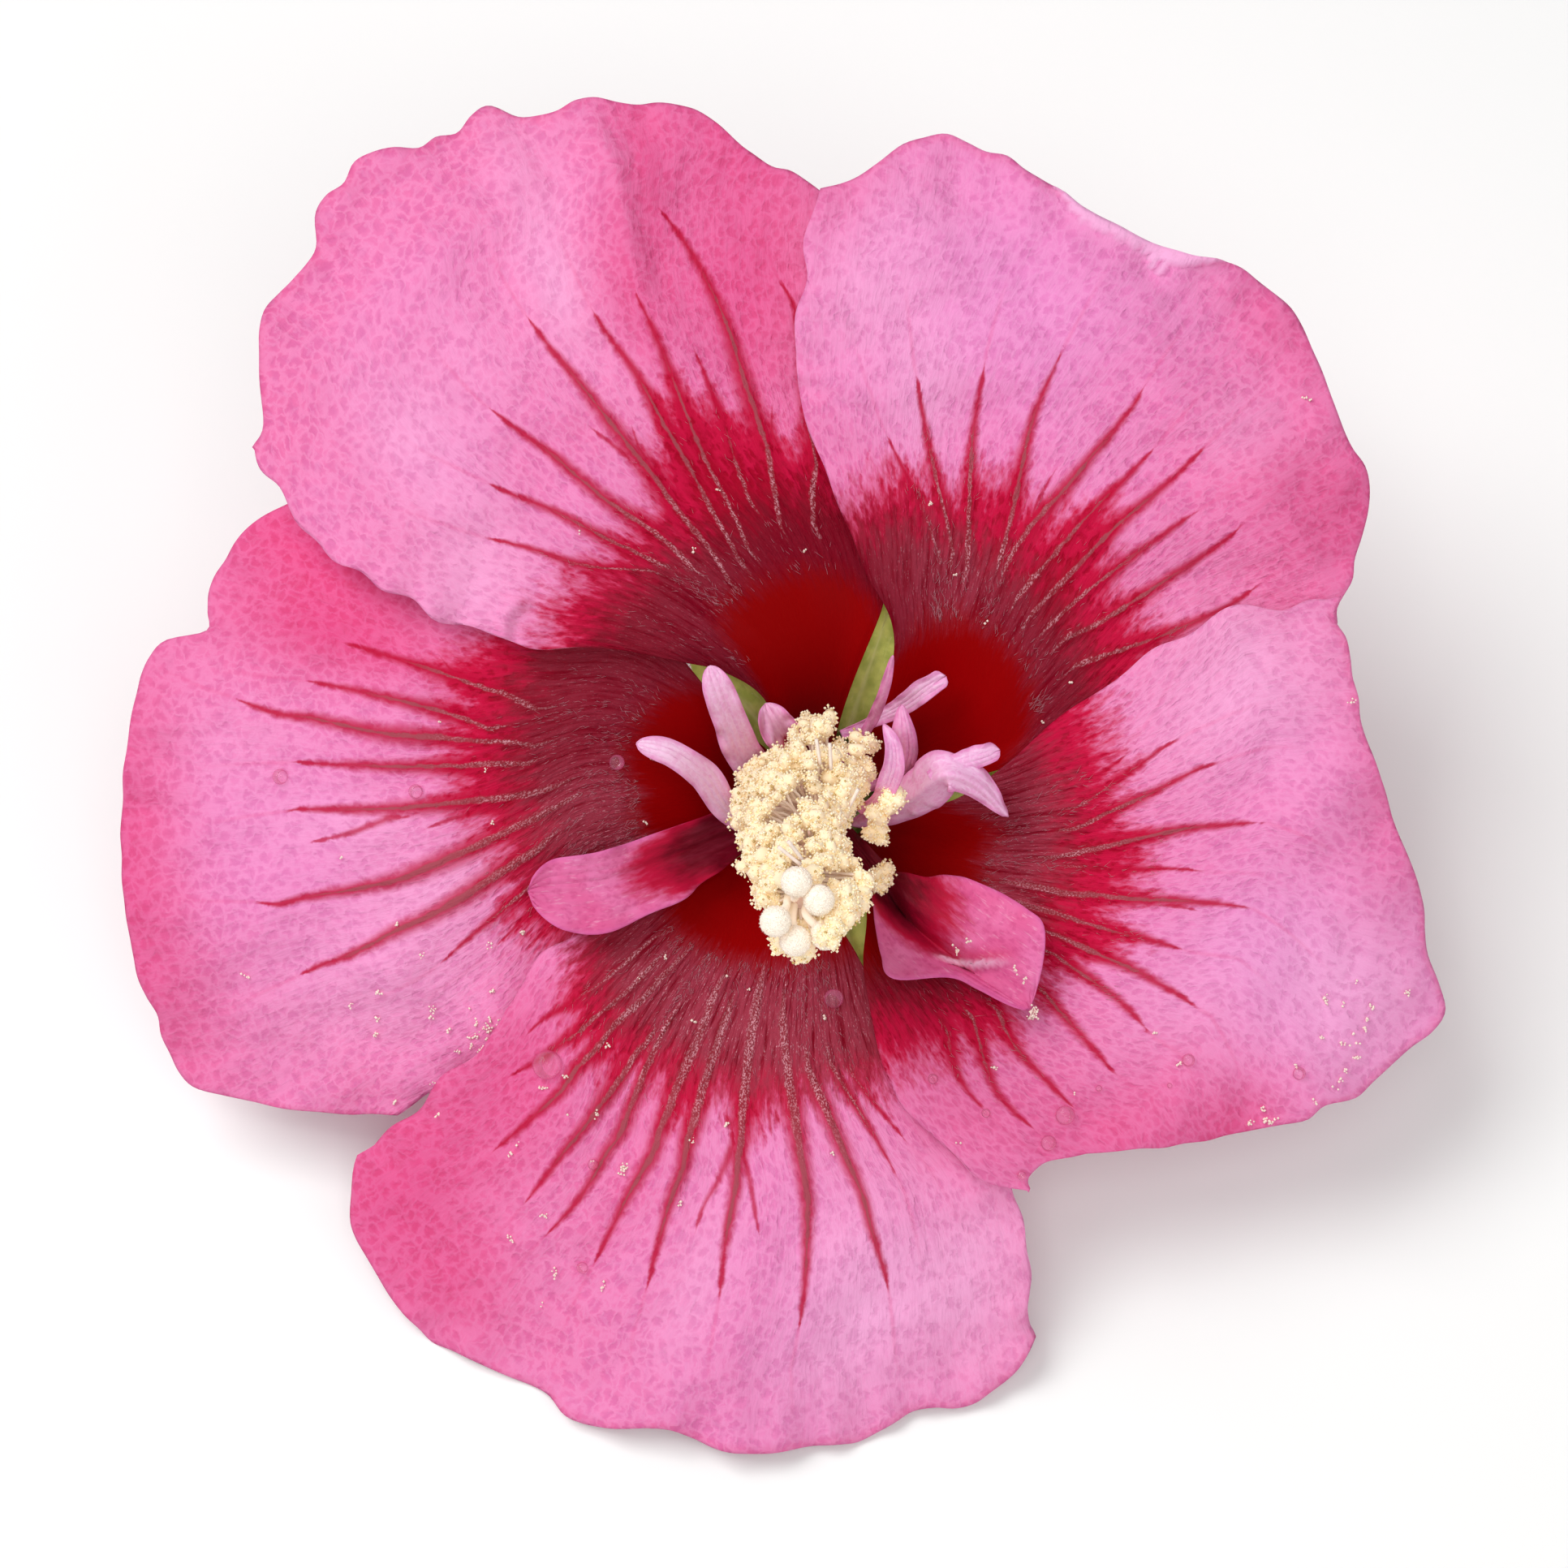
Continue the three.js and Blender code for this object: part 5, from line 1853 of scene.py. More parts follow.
PETALOIDS: tuple[Petaloid, ...] = (
    Petaloid(
        "petaloid_strap_inner",
        (
            (-2.7, 1.4, 13.6), (-4.6, 1.8, 16.2), (-6.2, 3.2, 19), (-7.4, 6, 22.4), (-8.3, 8.5, 24.4),
            (-8.9, 10, 24.8),
        ),
        left=(0.7, 1.1, 1.4, 1.4, 1.3, 1.2, 1.0), right=(0.7, 1.2, 1.4, 1.4, 1.3, 1.2, 1.0), fold=0.08,
        light=0.8, seed=11,
    ),
    Petaloid(
        "petaloid_strap_outer",
        (
            (-2.6, -0.2, 14.4), (-5.3, -1.8, 18), (-7.6, -0.7, 21.2), (-9.4, 1.9, 24.4), (-11.9, 3.6, 26.4),
            (-14.3, 4.2, 26.8),
        ),
        left=(0.6, 0.9, 1.0, 1.1, 1.15, 1.1, 0.95), right=(0.7, 0.9, 1.0, 1.1, 1.1, 1.0, 0.9), fold=-0.05,
        light=1.0, seed=12,
    ),
    Petaloid(
        "petaloid_large_left",
        ((-2.3, -1.7, 12.8), (-7.4, -2.9, 16.9), (-12, -4.6, 21.4), (-16.7, -6.3, 24.6), (-22.4, -6.8, 26.4)),
        left=(0.7, 1.0, 1.5, 2.25, 2.8, 3.2, 3.5, 3.3, 2.3),
        right=(0.9, 1.9, 2.2, 2.15, 2.25, 2.3, 2.4, 2.4, 1.9), fold=0.2, round=0.1, claw=0.86, rosy=1.0,
        light=0.1, frill=0.2, frill_pitch=4.5, ribs=7, crease=0.3, seed=13,
    ),
    Petaloid(
        "petaloid_curled", ((-1.7, 3.1, 14.2), (-3, 4.6, 17.2), (-4.1, 6.1, 19.3), (-4.7, 7.3, 19.6)),
        left=(0.5, 0.8, 1.3, 1.5, 1.3), right=(0.6, 0.9, 1.3, 1.4, 1.2), fold=0.8, power=1.1, round=0.25,
        claw=0.75, rosy=0.2, light=0.9, frill=0.35, frill_pitch=1.4, seed=14,
    ),
    Petaloid(
        "petaloid_thin", ((1.2, 2.9, 14), (3.2, 5.6, 18), (4.2, 8, 22), (4.9, 10.8, 24.6)),
        left=(0.3, 0.35, 0.45, 0.4, 0.3), right=(0.3, 0.35, 0.45, 0.4, 0.3), round=0.2, light=0.2, rosy=0.3,
        frill=0.08, ribs=1, seed=15, columns=16,
    ),
    Petaloid(
        "petaloid_notched",
        ((1.2, 5.0, 14), (3.6, 6.0, 16.8), (5.9, 7.2, 19.3), (7.4, 8.3, 21.2), (8.9, 9.3, 22.2)),
        left=(0.35, 0.4, 0.65, 0.9, 0.75), right=(0.35, 0.45, 0.65, 0.8, 0.7), fold=0.3, round=0.04,
        notch=1.0, light=0.6, seed=16, columns=28,
    ),
    Petaloid(
        "petaloid_hooded",
        ((2.4, 0.6, 15), (5.2, 1.8, 18.8), (5.9, 3.4, 22.4), (5.8, 5.3, 24.8), (5.5, 7.1, 25.0)),
        left=(0.35, 0.5, 1.0, 1.2, 0.9), right=(0.35, 0.5, 0.9, 0.8, 0.7), fold=-0.35, round=0.25, rosy=0.35,
        light=0.2, frill=0.2, frill_pitch=1.8, seed=17, columns=28,
    ),
    Petaloid(
        "petaloid_leaf",
        ((2.4, -0.9, 21.4), (4.3, 0.8, 25.6), (4.9, 2.6, 27.6), (4.8, 4.2, 28.2), (4.1, 5.6, 27.8)),
        left=(0.3, 0.35, 0.8, 0.8, 0.3), right=(0.3, 0.35, 0.8, 0.7, 0.3), fold=0.35, light=0.3, seed=18,
        columns=28,
    ),
    Petaloid(
        "petaloid_bent",
        (
            (2.0, -2.0, 15.4), (4.4, -1.0, 18.8), (6.6, 0.3, 22.8), (8.9, 1.9, 26.4), (11.1, 1.1, 25.6),
            (13.6, -1.3, 23.6),
        ),
        left=(0.4, 1.1, 1.6, 1.8, 1.7, 1.2, 0.25), right=(0.4, 1.1, 1.6, 1.8, 1.4, 1.0, 0.25), fold=-0.75,
        power=1.1, round=0.02, light=0.45, frill=0.16, ribs=3, seed=19,
    ),
    Petaloid(
        "petaloid_bent_lobe", ((7.6, 1.6, 25.2), (9.4, 2.6, 25.6), (11.4, 3.2, 25.4), (12.9, 3.7, 24.9)),
        left=(0.5, 0.7, 0.8, 0.9, 0.7), right=(0.5, 0.7, 0.8, 0.8, 0.6), fold=-0.2, round=0.1, notch=0.5,
        light=0.4, seed=21, columns=24, rows=48, stands_for=False,
    ),
    Petaloid(
        "petaloid_large_right",
        ((0.8, -1.8, 12.9), (3.4, -5.2, 17.4), (5.9, -8.9, 21), (9.9, -12.3, 24), (15.1, -15.7, 25.6)),
        left=(0.6, 0.7, 0.8, 1.0, 1.7, 3.1, 4.3, 5.2, 5.8, 6.1, 6.1, 5.4, 1.6),
        right=(0.6, 0.7, 0.7, 0.8, 1.1, 1.5, 2.3, 3.2, 4.1, 1.3, 0.8, 0.65, 0.4), fold=0.14, flap=0.8,
        round=0.06, claw=0.85, rosy=1.0, light=0.1, frill=0.35, frill_pitch=4.0, ribs=7, crease=1.8,
        lip=((0.64, 0.9), (0.72, 0.1), (0.77, -0.4), (0.82, -1.3), (0.9, -2.6)), seed=20,
    ),
)


# ---------------------------------------------------------------- stamens and stigmas


class PollenKind(IntEnum):
    """Finishes of the anthers' mesh, in the order of its materials."""

    LIGHT = 0
    ANTHER = 1
    WARM = 2
    FILAMENT = 3
    SPECK = 4


@dataclass(frozen=True)
class Stamens:
    """The stamen column, its filaments and its clustered anthers, and the five styles.

    rise is the part of the column that carries anthers. sleeve holds how far they reach at eighths of
    a turn from +X, one row at each of the sleeve places along the column. threads are bare filaments
    by their two ends, and clumps fallen anthers: where they lie, how far they spread and how many.
    """

    line: tuple[Point, ...] = (
        (0, 0.6, 9), (-0.2, 1, 14), (-0.4, 0.8, 19), (-1, -1.2, 26), (-1.7, -4.5, 33), (-2.2, -7, 37.6),
    )
    radii: Stations = ((0, 3), (0.08, 2.5), (0.2, 1.9), (0.5, 1.6), (0.85, 1.3), (1, 0.9))
    rings: int = 4
    per_ring: int = 5
    turn: float = math.radians(20)
    rise: tuple[float, float] = (0.41, 0.92)
    sleeve: tuple[tuple[float, ...], ...] = (
        (2.6, 5.4, 5.7, 4.8, 6.0, 4.6, 3.4, 2.2),
        (2.6, 5.4, 5.9, 4.9, 6.3, 5.0, 3.4, 2.2),
        (1.6, 3.6, 4.7, 5.0, 5.7, 4.8, 3.2, 2.0),
        (1.4, 2.4, 4.0, 4.5, 5.1, 4.4, 3.2, 2.4),
        (4.0, 3.2, 3.2, 3.8, 4.4, 3.7, 3.4, 4.8),
        (4.9, 3.6, 2.8, 2.8, 3.2, 2.7, 3.4, 4.3),
        (3.4, 2.6, 2.2, 2.2, 2.4, 2.2, 2.6, 3.2),
    )
    sleeve_places: tuple[float, ...] = (0.3, 0.41, 0.57, 0.7, 0.826, 0.92, 1.0)
    anthers_each: int = 28
    grains_each: int = 42
    threads: tuple[tuple[Point, Point], ...] = (
        ((-2.1, -4.6, 41.0), (-3.7, -3.3, 41.6)), ((-2.0, -4.2, 41.0), (-3.0, -2.9, 41.8)),
        ((-0.6, 2.6, 28.0), (-0.9, 4.5, 28.4)), ((0.2, 2.2, 28.0), (0.1, 4.2, 28.6)),
        ((1.5, -0.6, 28.6), (2.2, 0.8, 29.2)),
    )
    clumps: tuple[tuple[float, float, float, float, int], ...] = (
        (4.9, 0.1, 25.4, 0.6, 8), (3.9, -0.9, 24.6, 0.6, 9), (3.7, -2.3, 23.4, 0.6, 9),
        (4.2, -5.6, 20.6, 0.5, 6), (4.1, -6.5, 20.4, 0.4, 5), (-3.0, -10.3, 38.8, 0.6, 8),
        (-1.9, -10.9, 38.8, 0.5, 7),
        (0.5, -8.4, 41.5, 0.6, 10), (-0.1, -9.5, 42.0, 0.5, 10), (1.2, -6.8, 40.8, 0.6, 8),
    )
    stigmas: tuple[Point, ...] = (
        (-2.4, -5.8, 42.2), (-3.9, -8.6, 42.4), (-2.5, -10, 41.4), (-0.3, -9.6, 40.8), (-0.8, -7.1, 42),
    )
    velvet: int = 420
    fuzz: int = 700
    furrows: int = 5
    furrow_depth: float = 0.05
    spread_along: float = 0.07  # how far the anthers of a tuft scatter, as a share of the column
    spread_round: float = 0.34  # and in radians round it
    reaches: tuple[float, ...] = (0.97, 0.88, 0.76)  # shares of the sleeve's reach, and how often each
    reach_odds: tuple[float, ...] = (0.6, 0.25, 0.15)
    filament_radius: float = 0.12
    thread_radius: float = 0.14
    anther_radius: tuple[float, float] = (0.4, 0.58)
    anther_stretch: tuple[float, float] = (0.78, 1.3)
    grain_radius: tuple[float, float] = (0.06, 0.15)
    grain_odds: tuple[float, ...] = (0.68, 0.27, 0.05)  # of light, warm and dark grains
    stigma_radii: Point = (1.08, 1.08, 0.9)
    velvet_radii: Point = (1.06, 1.06, 0.88)
    velvet_grain: float = 0.09
    fuzz_width: float = 0.03

    def column(self) -> MeshData:
        """The column: a round limb with five soft furrows.

        Returns:
            The closed mesh.
        """
        spine = Spine(self.line)
        share = np.linspace(0, 1, 60)
        rings = limb(spine, along(self.radii, share), 30)
        centre = spine.at(share)[:, None]
        furrow = 1 + self.furrow_depth * np.cos(self.furrows * around(30))[None]
        furrow = furrow + 0.02 * ripple(3, 3, *np.moveaxis(rings, -1, 0))
        return closed_tube(centre + (rings - centre) * furrow[..., None])

    def tuft(self, index: int) -> MeshData:
        """One tuft: filaments that fan out from the column, each with an anther coated in pollen.

        Anthers stand round the tuft's own place on the column, spread along it and round it.

        Args:
            index: number of the tuft, counted round the column and then along it.

        Returns:
            The tuft's mesh.
        """
        rng = np.random.default_rng(900 + index)
        spine = Spine(self.line)
        ring, place = divmod(index, self.per_ring)
        rise = ring / (self.rings - 1)
        count = self.anthers_each
        at = self.rise[0] + (self.rise[1] - self.rise[0]) * rise + rng.normal(0, self.spread_along, count)
        at = np.clip(at, 0.27, 0.985)
        turn = self.turn + 2 * np.pi * (place + ring / 2) / self.per_ring
        turn = turn + rng.normal(0, self.spread_round, count)
        ahead = spine.ahead(at)
        out = np.stack([np.cos(turn), np.sin(turn), np.zeros(count)], -1)
        out = unit(out - ahead * np.sum(out * ahead, axis=1, keepdims=True))
        reach = self.stand_out(at, turn) * rng.choice(self.reaches, count, p=self.reach_odds)
        reach = reach + rng.normal(0, 0.16, count)
        foot = spine.at(at)
        spots = foot + out * reach[:, None] + ahead * rng.normal(0.8, 0.3, (count, 1))
        start = foot + out * along(self.radii, at)[:, None] * 0.9
        bend = (start + spots) / 2 + rng.normal(0, 0.25, (count, 3))
        curves = zip(start, bend, spots)
        filaments = MeshData.joined([thread(ends, self.filament_radius, 5, 5, 24) for ends in curves])
        filaments.paint(PollenKind.FILAMENT)
        return MeshData.joined([self.anthers(spots, rng), filaments])

    def stand_out(self, share: Array, turn: Array) -> Array:
        """How far the anthers reach at a share of the column and a turn round it.

        Each row of the sleeve holds the reach at one of its places, at every eighth of a turn from +X.

        Args:
            share: places along the column.
            turn: directions round it, in radians.

        Returns:
            The reach, read from the sleeve by straight lines both ways.
        """
        eighths = np.mod(turn, 2 * np.pi) / (np.pi / 4)
        first = eighths.astype(int) % 8
        part = eighths - np.floor(eighths)
        table = np.array(self.sleeve)
        rows = table[:, first] * (1 - part) + table[:, (first + 1) % 8] * part
        place = np.interp(share, self.sleeve_places, np.arange(len(table)))
        low = np.minimum(place.astype(int), len(table) - 2)
        number = np.arange(len(share))
        return rows[low, number] * (low + 1 - place) + rows[low + 1, number] * (place - low)

    def anthers(self, spots: Array, rng: np.random.Generator) -> MeshData:
        """Lumpy anthers, each coated in pollen grains.

        Args:
            spots: where they are.
            rng: what draws their sizes and the grains' places and kinds.

        Returns:
            Their mesh.
        """
        count = len(spots)
        radii = rng.uniform(*self.anther_radius, (count, 1)) * rng.uniform(*self.anther_stretch, (count, 3))
        bodies = balls(spots, radii, 4, 8, rng.uniform(-0.24, 0.24, (count, 4, 8)))
        bodies.paint(PollenKind.ANTHER)
        coat = unit(rng.normal(size=(count, self.grains_each, 3)))
        stand = rng.uniform(0.9, 1.4, (count, self.grains_each, 1))
        seats = spots[:, None] + coat * radii[:, None] * stand
        total = count * self.grains_each
        pollen = grains(seats.reshape(-1, 3), rng.uniform(*self.grain_radius, total))
        kinds = rng.choice((PollenKind.LIGHT, PollenKind.WARM, PollenKind.SPECK), total, p=self.grain_odds)
        pollen.tri_kind = np.repeat(kinds, len(pollen.tris) // total)
        return MeshData.joined([bodies, pollen])

    def loose(self) -> MeshData:
        """Clumps of anthers that have come to lie on the petaloids and about the stigmas.

        Returns:
            Their mesh, with the bare filaments.
        """
        rng = np.random.default_rng(870)
        spots = [np.array(at) + rng.normal(0, spread / 1.6, (count, 3)) for *at, spread, count in self.clumps]
        threads = MeshData.joined([thread(ends, self.thread_radius, 6, 8) for ends in self.threads])
        threads.paint(PollenKind.FILAMENT)
        return MeshData.joined([self.anthers(np.concatenate(spots), rng), threads])

    def stigma(self, index: int) -> MeshData:
        """One style with a rounded, finely velvety stigma on its end.

        Args:
            index: number of the stigma.

        Returns:
            Their mesh: a bent thread, a flattened ball, and grains and short hairs over it.
        """
        rng = np.random.default_rng(700 + index)
        spine = Spine(self.line)
        tip, ahead = spine.at(np.array([1.0]))[0], spine.ahead(np.array([1.0]))[0]
        turn = math.radians(100) + 2 * math.pi * index / len(self.stigmas)
        out = np.array((math.cos(turn), math.sin(turn), 0))
        out = unit(out - ahead * out.dot(ahead))
        start = tip + out * 0.8 - ahead * 0.2
        head = np.array(self.stigmas[index])
        style = thread((start, start + ahead * 1.7, head), 0.3, 14, 10, 60)
        size, seat = np.array(self.stigma_radii), np.array(self.velvet_radii)
        body = balls(head[None], size[None], 14, 22, rng.uniform(-0.02, 0.02, (1, 14, 22)))
        coat = unit(rng.normal(size=(self.velvet, 3)))
        velvet = grains(head + coat * seat, np.full(self.velvet, self.velvet_grain))
        fuzz = unit(rng.normal(size=(self.fuzz, 3)))
        root = head + fuzz * seat
        lean = unit(fuzz + rng.normal(0, 0.35, (self.fuzz, 3)))
        tips = root + lean * rng.uniform(0.1, 0.2, (self.fuzz, 1))
        return MeshData.joined([style, body, velvet, hairs(root, tips, self.fuzz_width)])


# ---------------------------------------------------------------- calyx, bracts, ovary and stalk


@dataclass(frozen=True)
class Calyx:
    """The green parts under the petals: cup, lobes, epicalyx bracts, ovary and cut stalk."""

    cup: Stations = (
        (0, 0), (2.3, 0), (4.3, 1.8), (5.6, 5), (6.1, 9.2), (5.4, 9.2), (4.9, 5.4), (3.7, 2.8), (0, 1.6),
    )
    ovary: Stations = ((0, 2.3), (2.2, 2.8), (3.2, 4.4), (3.4, 6.2), (3, 8), (1.6, 8.6), (0, 8.65))
    lobe_angles: tuple[float, ...] = (72, 131, 199, 279, 3)
    lobe_radii: tuple[float, float] = (5.5, 16.2)
    lobe_drop: float = 2.1
    lobe_widths: tuple[float, ...] = (5.4, 6.4, 6.2, 4.8, 2.8, 0.5)
    lobe_hairs: int = 260
    bracts: int = 7
    bract_line: Stations = ((2.75, -0.8), (5, 1), (6.7, 4.6), (7.8, 8.6), (9.6, 11.2))
    bract_widths: tuple[float, ...] = (1.1, 1.5, 1.5, 1.1, 0.4)
    stalk: tuple[Point, ...] = (
        (0, 0, -0.35), (0, 0.1, -2.2), (-1.2, 2.4, -5.4), (-3.8, 7, -8),
    )
    stalk_radii: Stations = ((0, 2.3), (0.15, 1.6), (0.5, 1.35), (1, 1.4))
    lobe_half_thickness: float = 0.25
    bract_half_thickness: float = 0.2
    hair_length: tuple[float, float] = (0.35, 0.85)
    hair_width: float = 0.03
    cut_share: float = 0.55  # size of the pale heart of the stalk's cut face

    @staticmethod
    def turned(profile: Stations, sides: int = 72, steps: int = 10) -> MeshData:
        """A profile of [radius, height] turned about the axis, with fine ribs, closed at both ends.

        Args:
            profile: corners of the profile, which starts and ends on the axis.
            sides: points in each ring.
            steps: rings for each stretch of the profile.

        Returns:
            The closed mesh.
        """
        given = np.array(profile, dtype=float)
        run = np.linspace(0, len(given) - 1, (len(given) - 1) * steps + 1)[1:-1]
        radius, rise = (np.interp(run, np.arange(len(given)), given[:, k])[:, None] for k in range(2))
        turn = around(sides)[None]
        rib = 1 + 0.012 * np.cos(10 * turn)
        arc, height = np.broadcast_arrays(turn * 5, rise)
        rings = np.stack([radius * np.cos(turn) * rib, radius * np.sin(turn) * rib, height], -1)
        nothing = np.zeros_like(arc)
        facts = {"fan": np.stack([arc, height, nothing], -1), "rib": nothing, "cut": nothing}
        return closed_tube(rings, facts)

    def lobe(self, index: int) -> tuple[MeshData, MeshData]:
        """One lobe as a thin shell with a midrib groove, and the hairs along its margins.

        Args:
            index: number of the lobe.

        Returns:
            The shell and the hairs.
        """
        direction = math.radians(self.lobe_angles[index])
        across, t = np.meshgrid(np.linspace(-0.5, 0.5, 30), np.linspace(0, 1, 50))

        def surface(across: Array, t: Array) -> Array:
            """Points at a place across the lobe and a share along it.

            Args:
                across: places across, from -0.5 to 0.5.
                t: shares along.

            Returns:
                The funnel's points there, dropped under the petals, with a groove and soft waves.
            """
            radius = self.lobe_radii[0] + (self.lobe_radii[1] - self.lobe_radii[0]) * t
            offset = -across * along(evenly(self.lobe_widths), t)
            lift = 0.06 * offset**2 - 0.22 * hump(offset, 0, 0.28) * ramp(t, 0.05, 0.3)
            lift += 0.08 * ripple(index + 30, 2.6, offset, radius)
            return np.stack([
                radius * math.cos(direction) - offset * math.sin(direction),
                radius * math.sin(direction) + offset * math.cos(direction),
                along(FUNNEL, radius) - self.lobe_drop + lift,
            ], -1)

        middle = surface(across, t)
        normal = grid_normals(middle)
        offset = across * along(evenly(self.lobe_widths), t)
        facts = {
            "fan": np.stack([offset, 10 * t, np.full_like(t, 10.0 * index)], -1),
            "rib": hump(offset, 0, 0.22),
            "cut": np.zeros_like(t),
        }
        half = self.lobe_half_thickness
        body = shell(middle + normal * half, middle - normal * half, facts)
        rng = np.random.default_rng(300 + index)
        count = self.lobe_hairs
        at = rng.uniform(0.15, 1, count)
        edge = rng.choice((-0.5, 0.5), count)
        inside = rng.uniform(0, 1, count) < 0.35
        edge = np.where(inside, rng.uniform(-0.45, 0.45, count), edge)
        root = surface(edge, at)
        outward = unit(surface(edge * 1.05, at) - root + 1e-9)
        lean = np.where(inside[:, None], (0, 0, 1.0), outward + (0, 0, 0.5)) + rng.normal(0, 0.25, (count, 3))
        tip = root + unit(lean) * rng.uniform(*self.hair_length, (count, 1))
        return body, hairs(root, tip, self.hair_width)

    def bract(self, index: int) -> MeshData:
        """One narrow bract.

        Args:
            index: number of the bract.

        Returns:
            The thin closed shell.
        """
        direction = 2 * math.pi * index / self.bracts + 0.2
        spine = Spine((r * math.cos(direction), r * math.sin(direction), z) for r, z in self.bract_line)
        side = np.array((math.sin(direction), -math.cos(direction), 0))
        across, t = np.meshgrid(np.linspace(-0.5, 0.5, 16), np.linspace(0, 1, 40))
        offset = across * along(evenly(self.bract_widths), t)
        middle = spine.at(t) + offset[..., None] * side
        normal = grid_normals(middle)
        facts = {
            "fan": np.stack([offset, t * spine.length, np.full_like(t, 5.0 * index)], -1),
            "rib": hump(offset, 0, 0.15),
            "cut": np.zeros_like(t),
        }
        half = self.bract_half_thickness
        return shell(middle + normal * half, middle - normal * half, facts)

    def stalk_mesh(self) -> MeshData:
        """The curved stub of stalk with its paler cut face.

        Returns:
            The closed mesh.
        """
        rings = limb(Spine(self.stalk), along(self.stalk_radii, np.linspace(0, 1, 40)), 36)
        centre = rings[-1].mean(0)
        inner = centre + (rings[-1] - centre) * self.cut_share
        rings = np.concatenate([rings, inner[None]])
        nothing = np.zeros(rings.shape[:2])
        cut = nothing.copy()
        cut[-1] = 1
        arc, length = np.meshgrid(np.linspace(0, 9, 36), np.linspace(0, 10, 41))
        return closed_tube(rings, {"fan": np.stack([arc, length, nothing], -1), "rib": nothing, "cut": cut})


# ---------------------------------------------------------------- dew and loose pollen


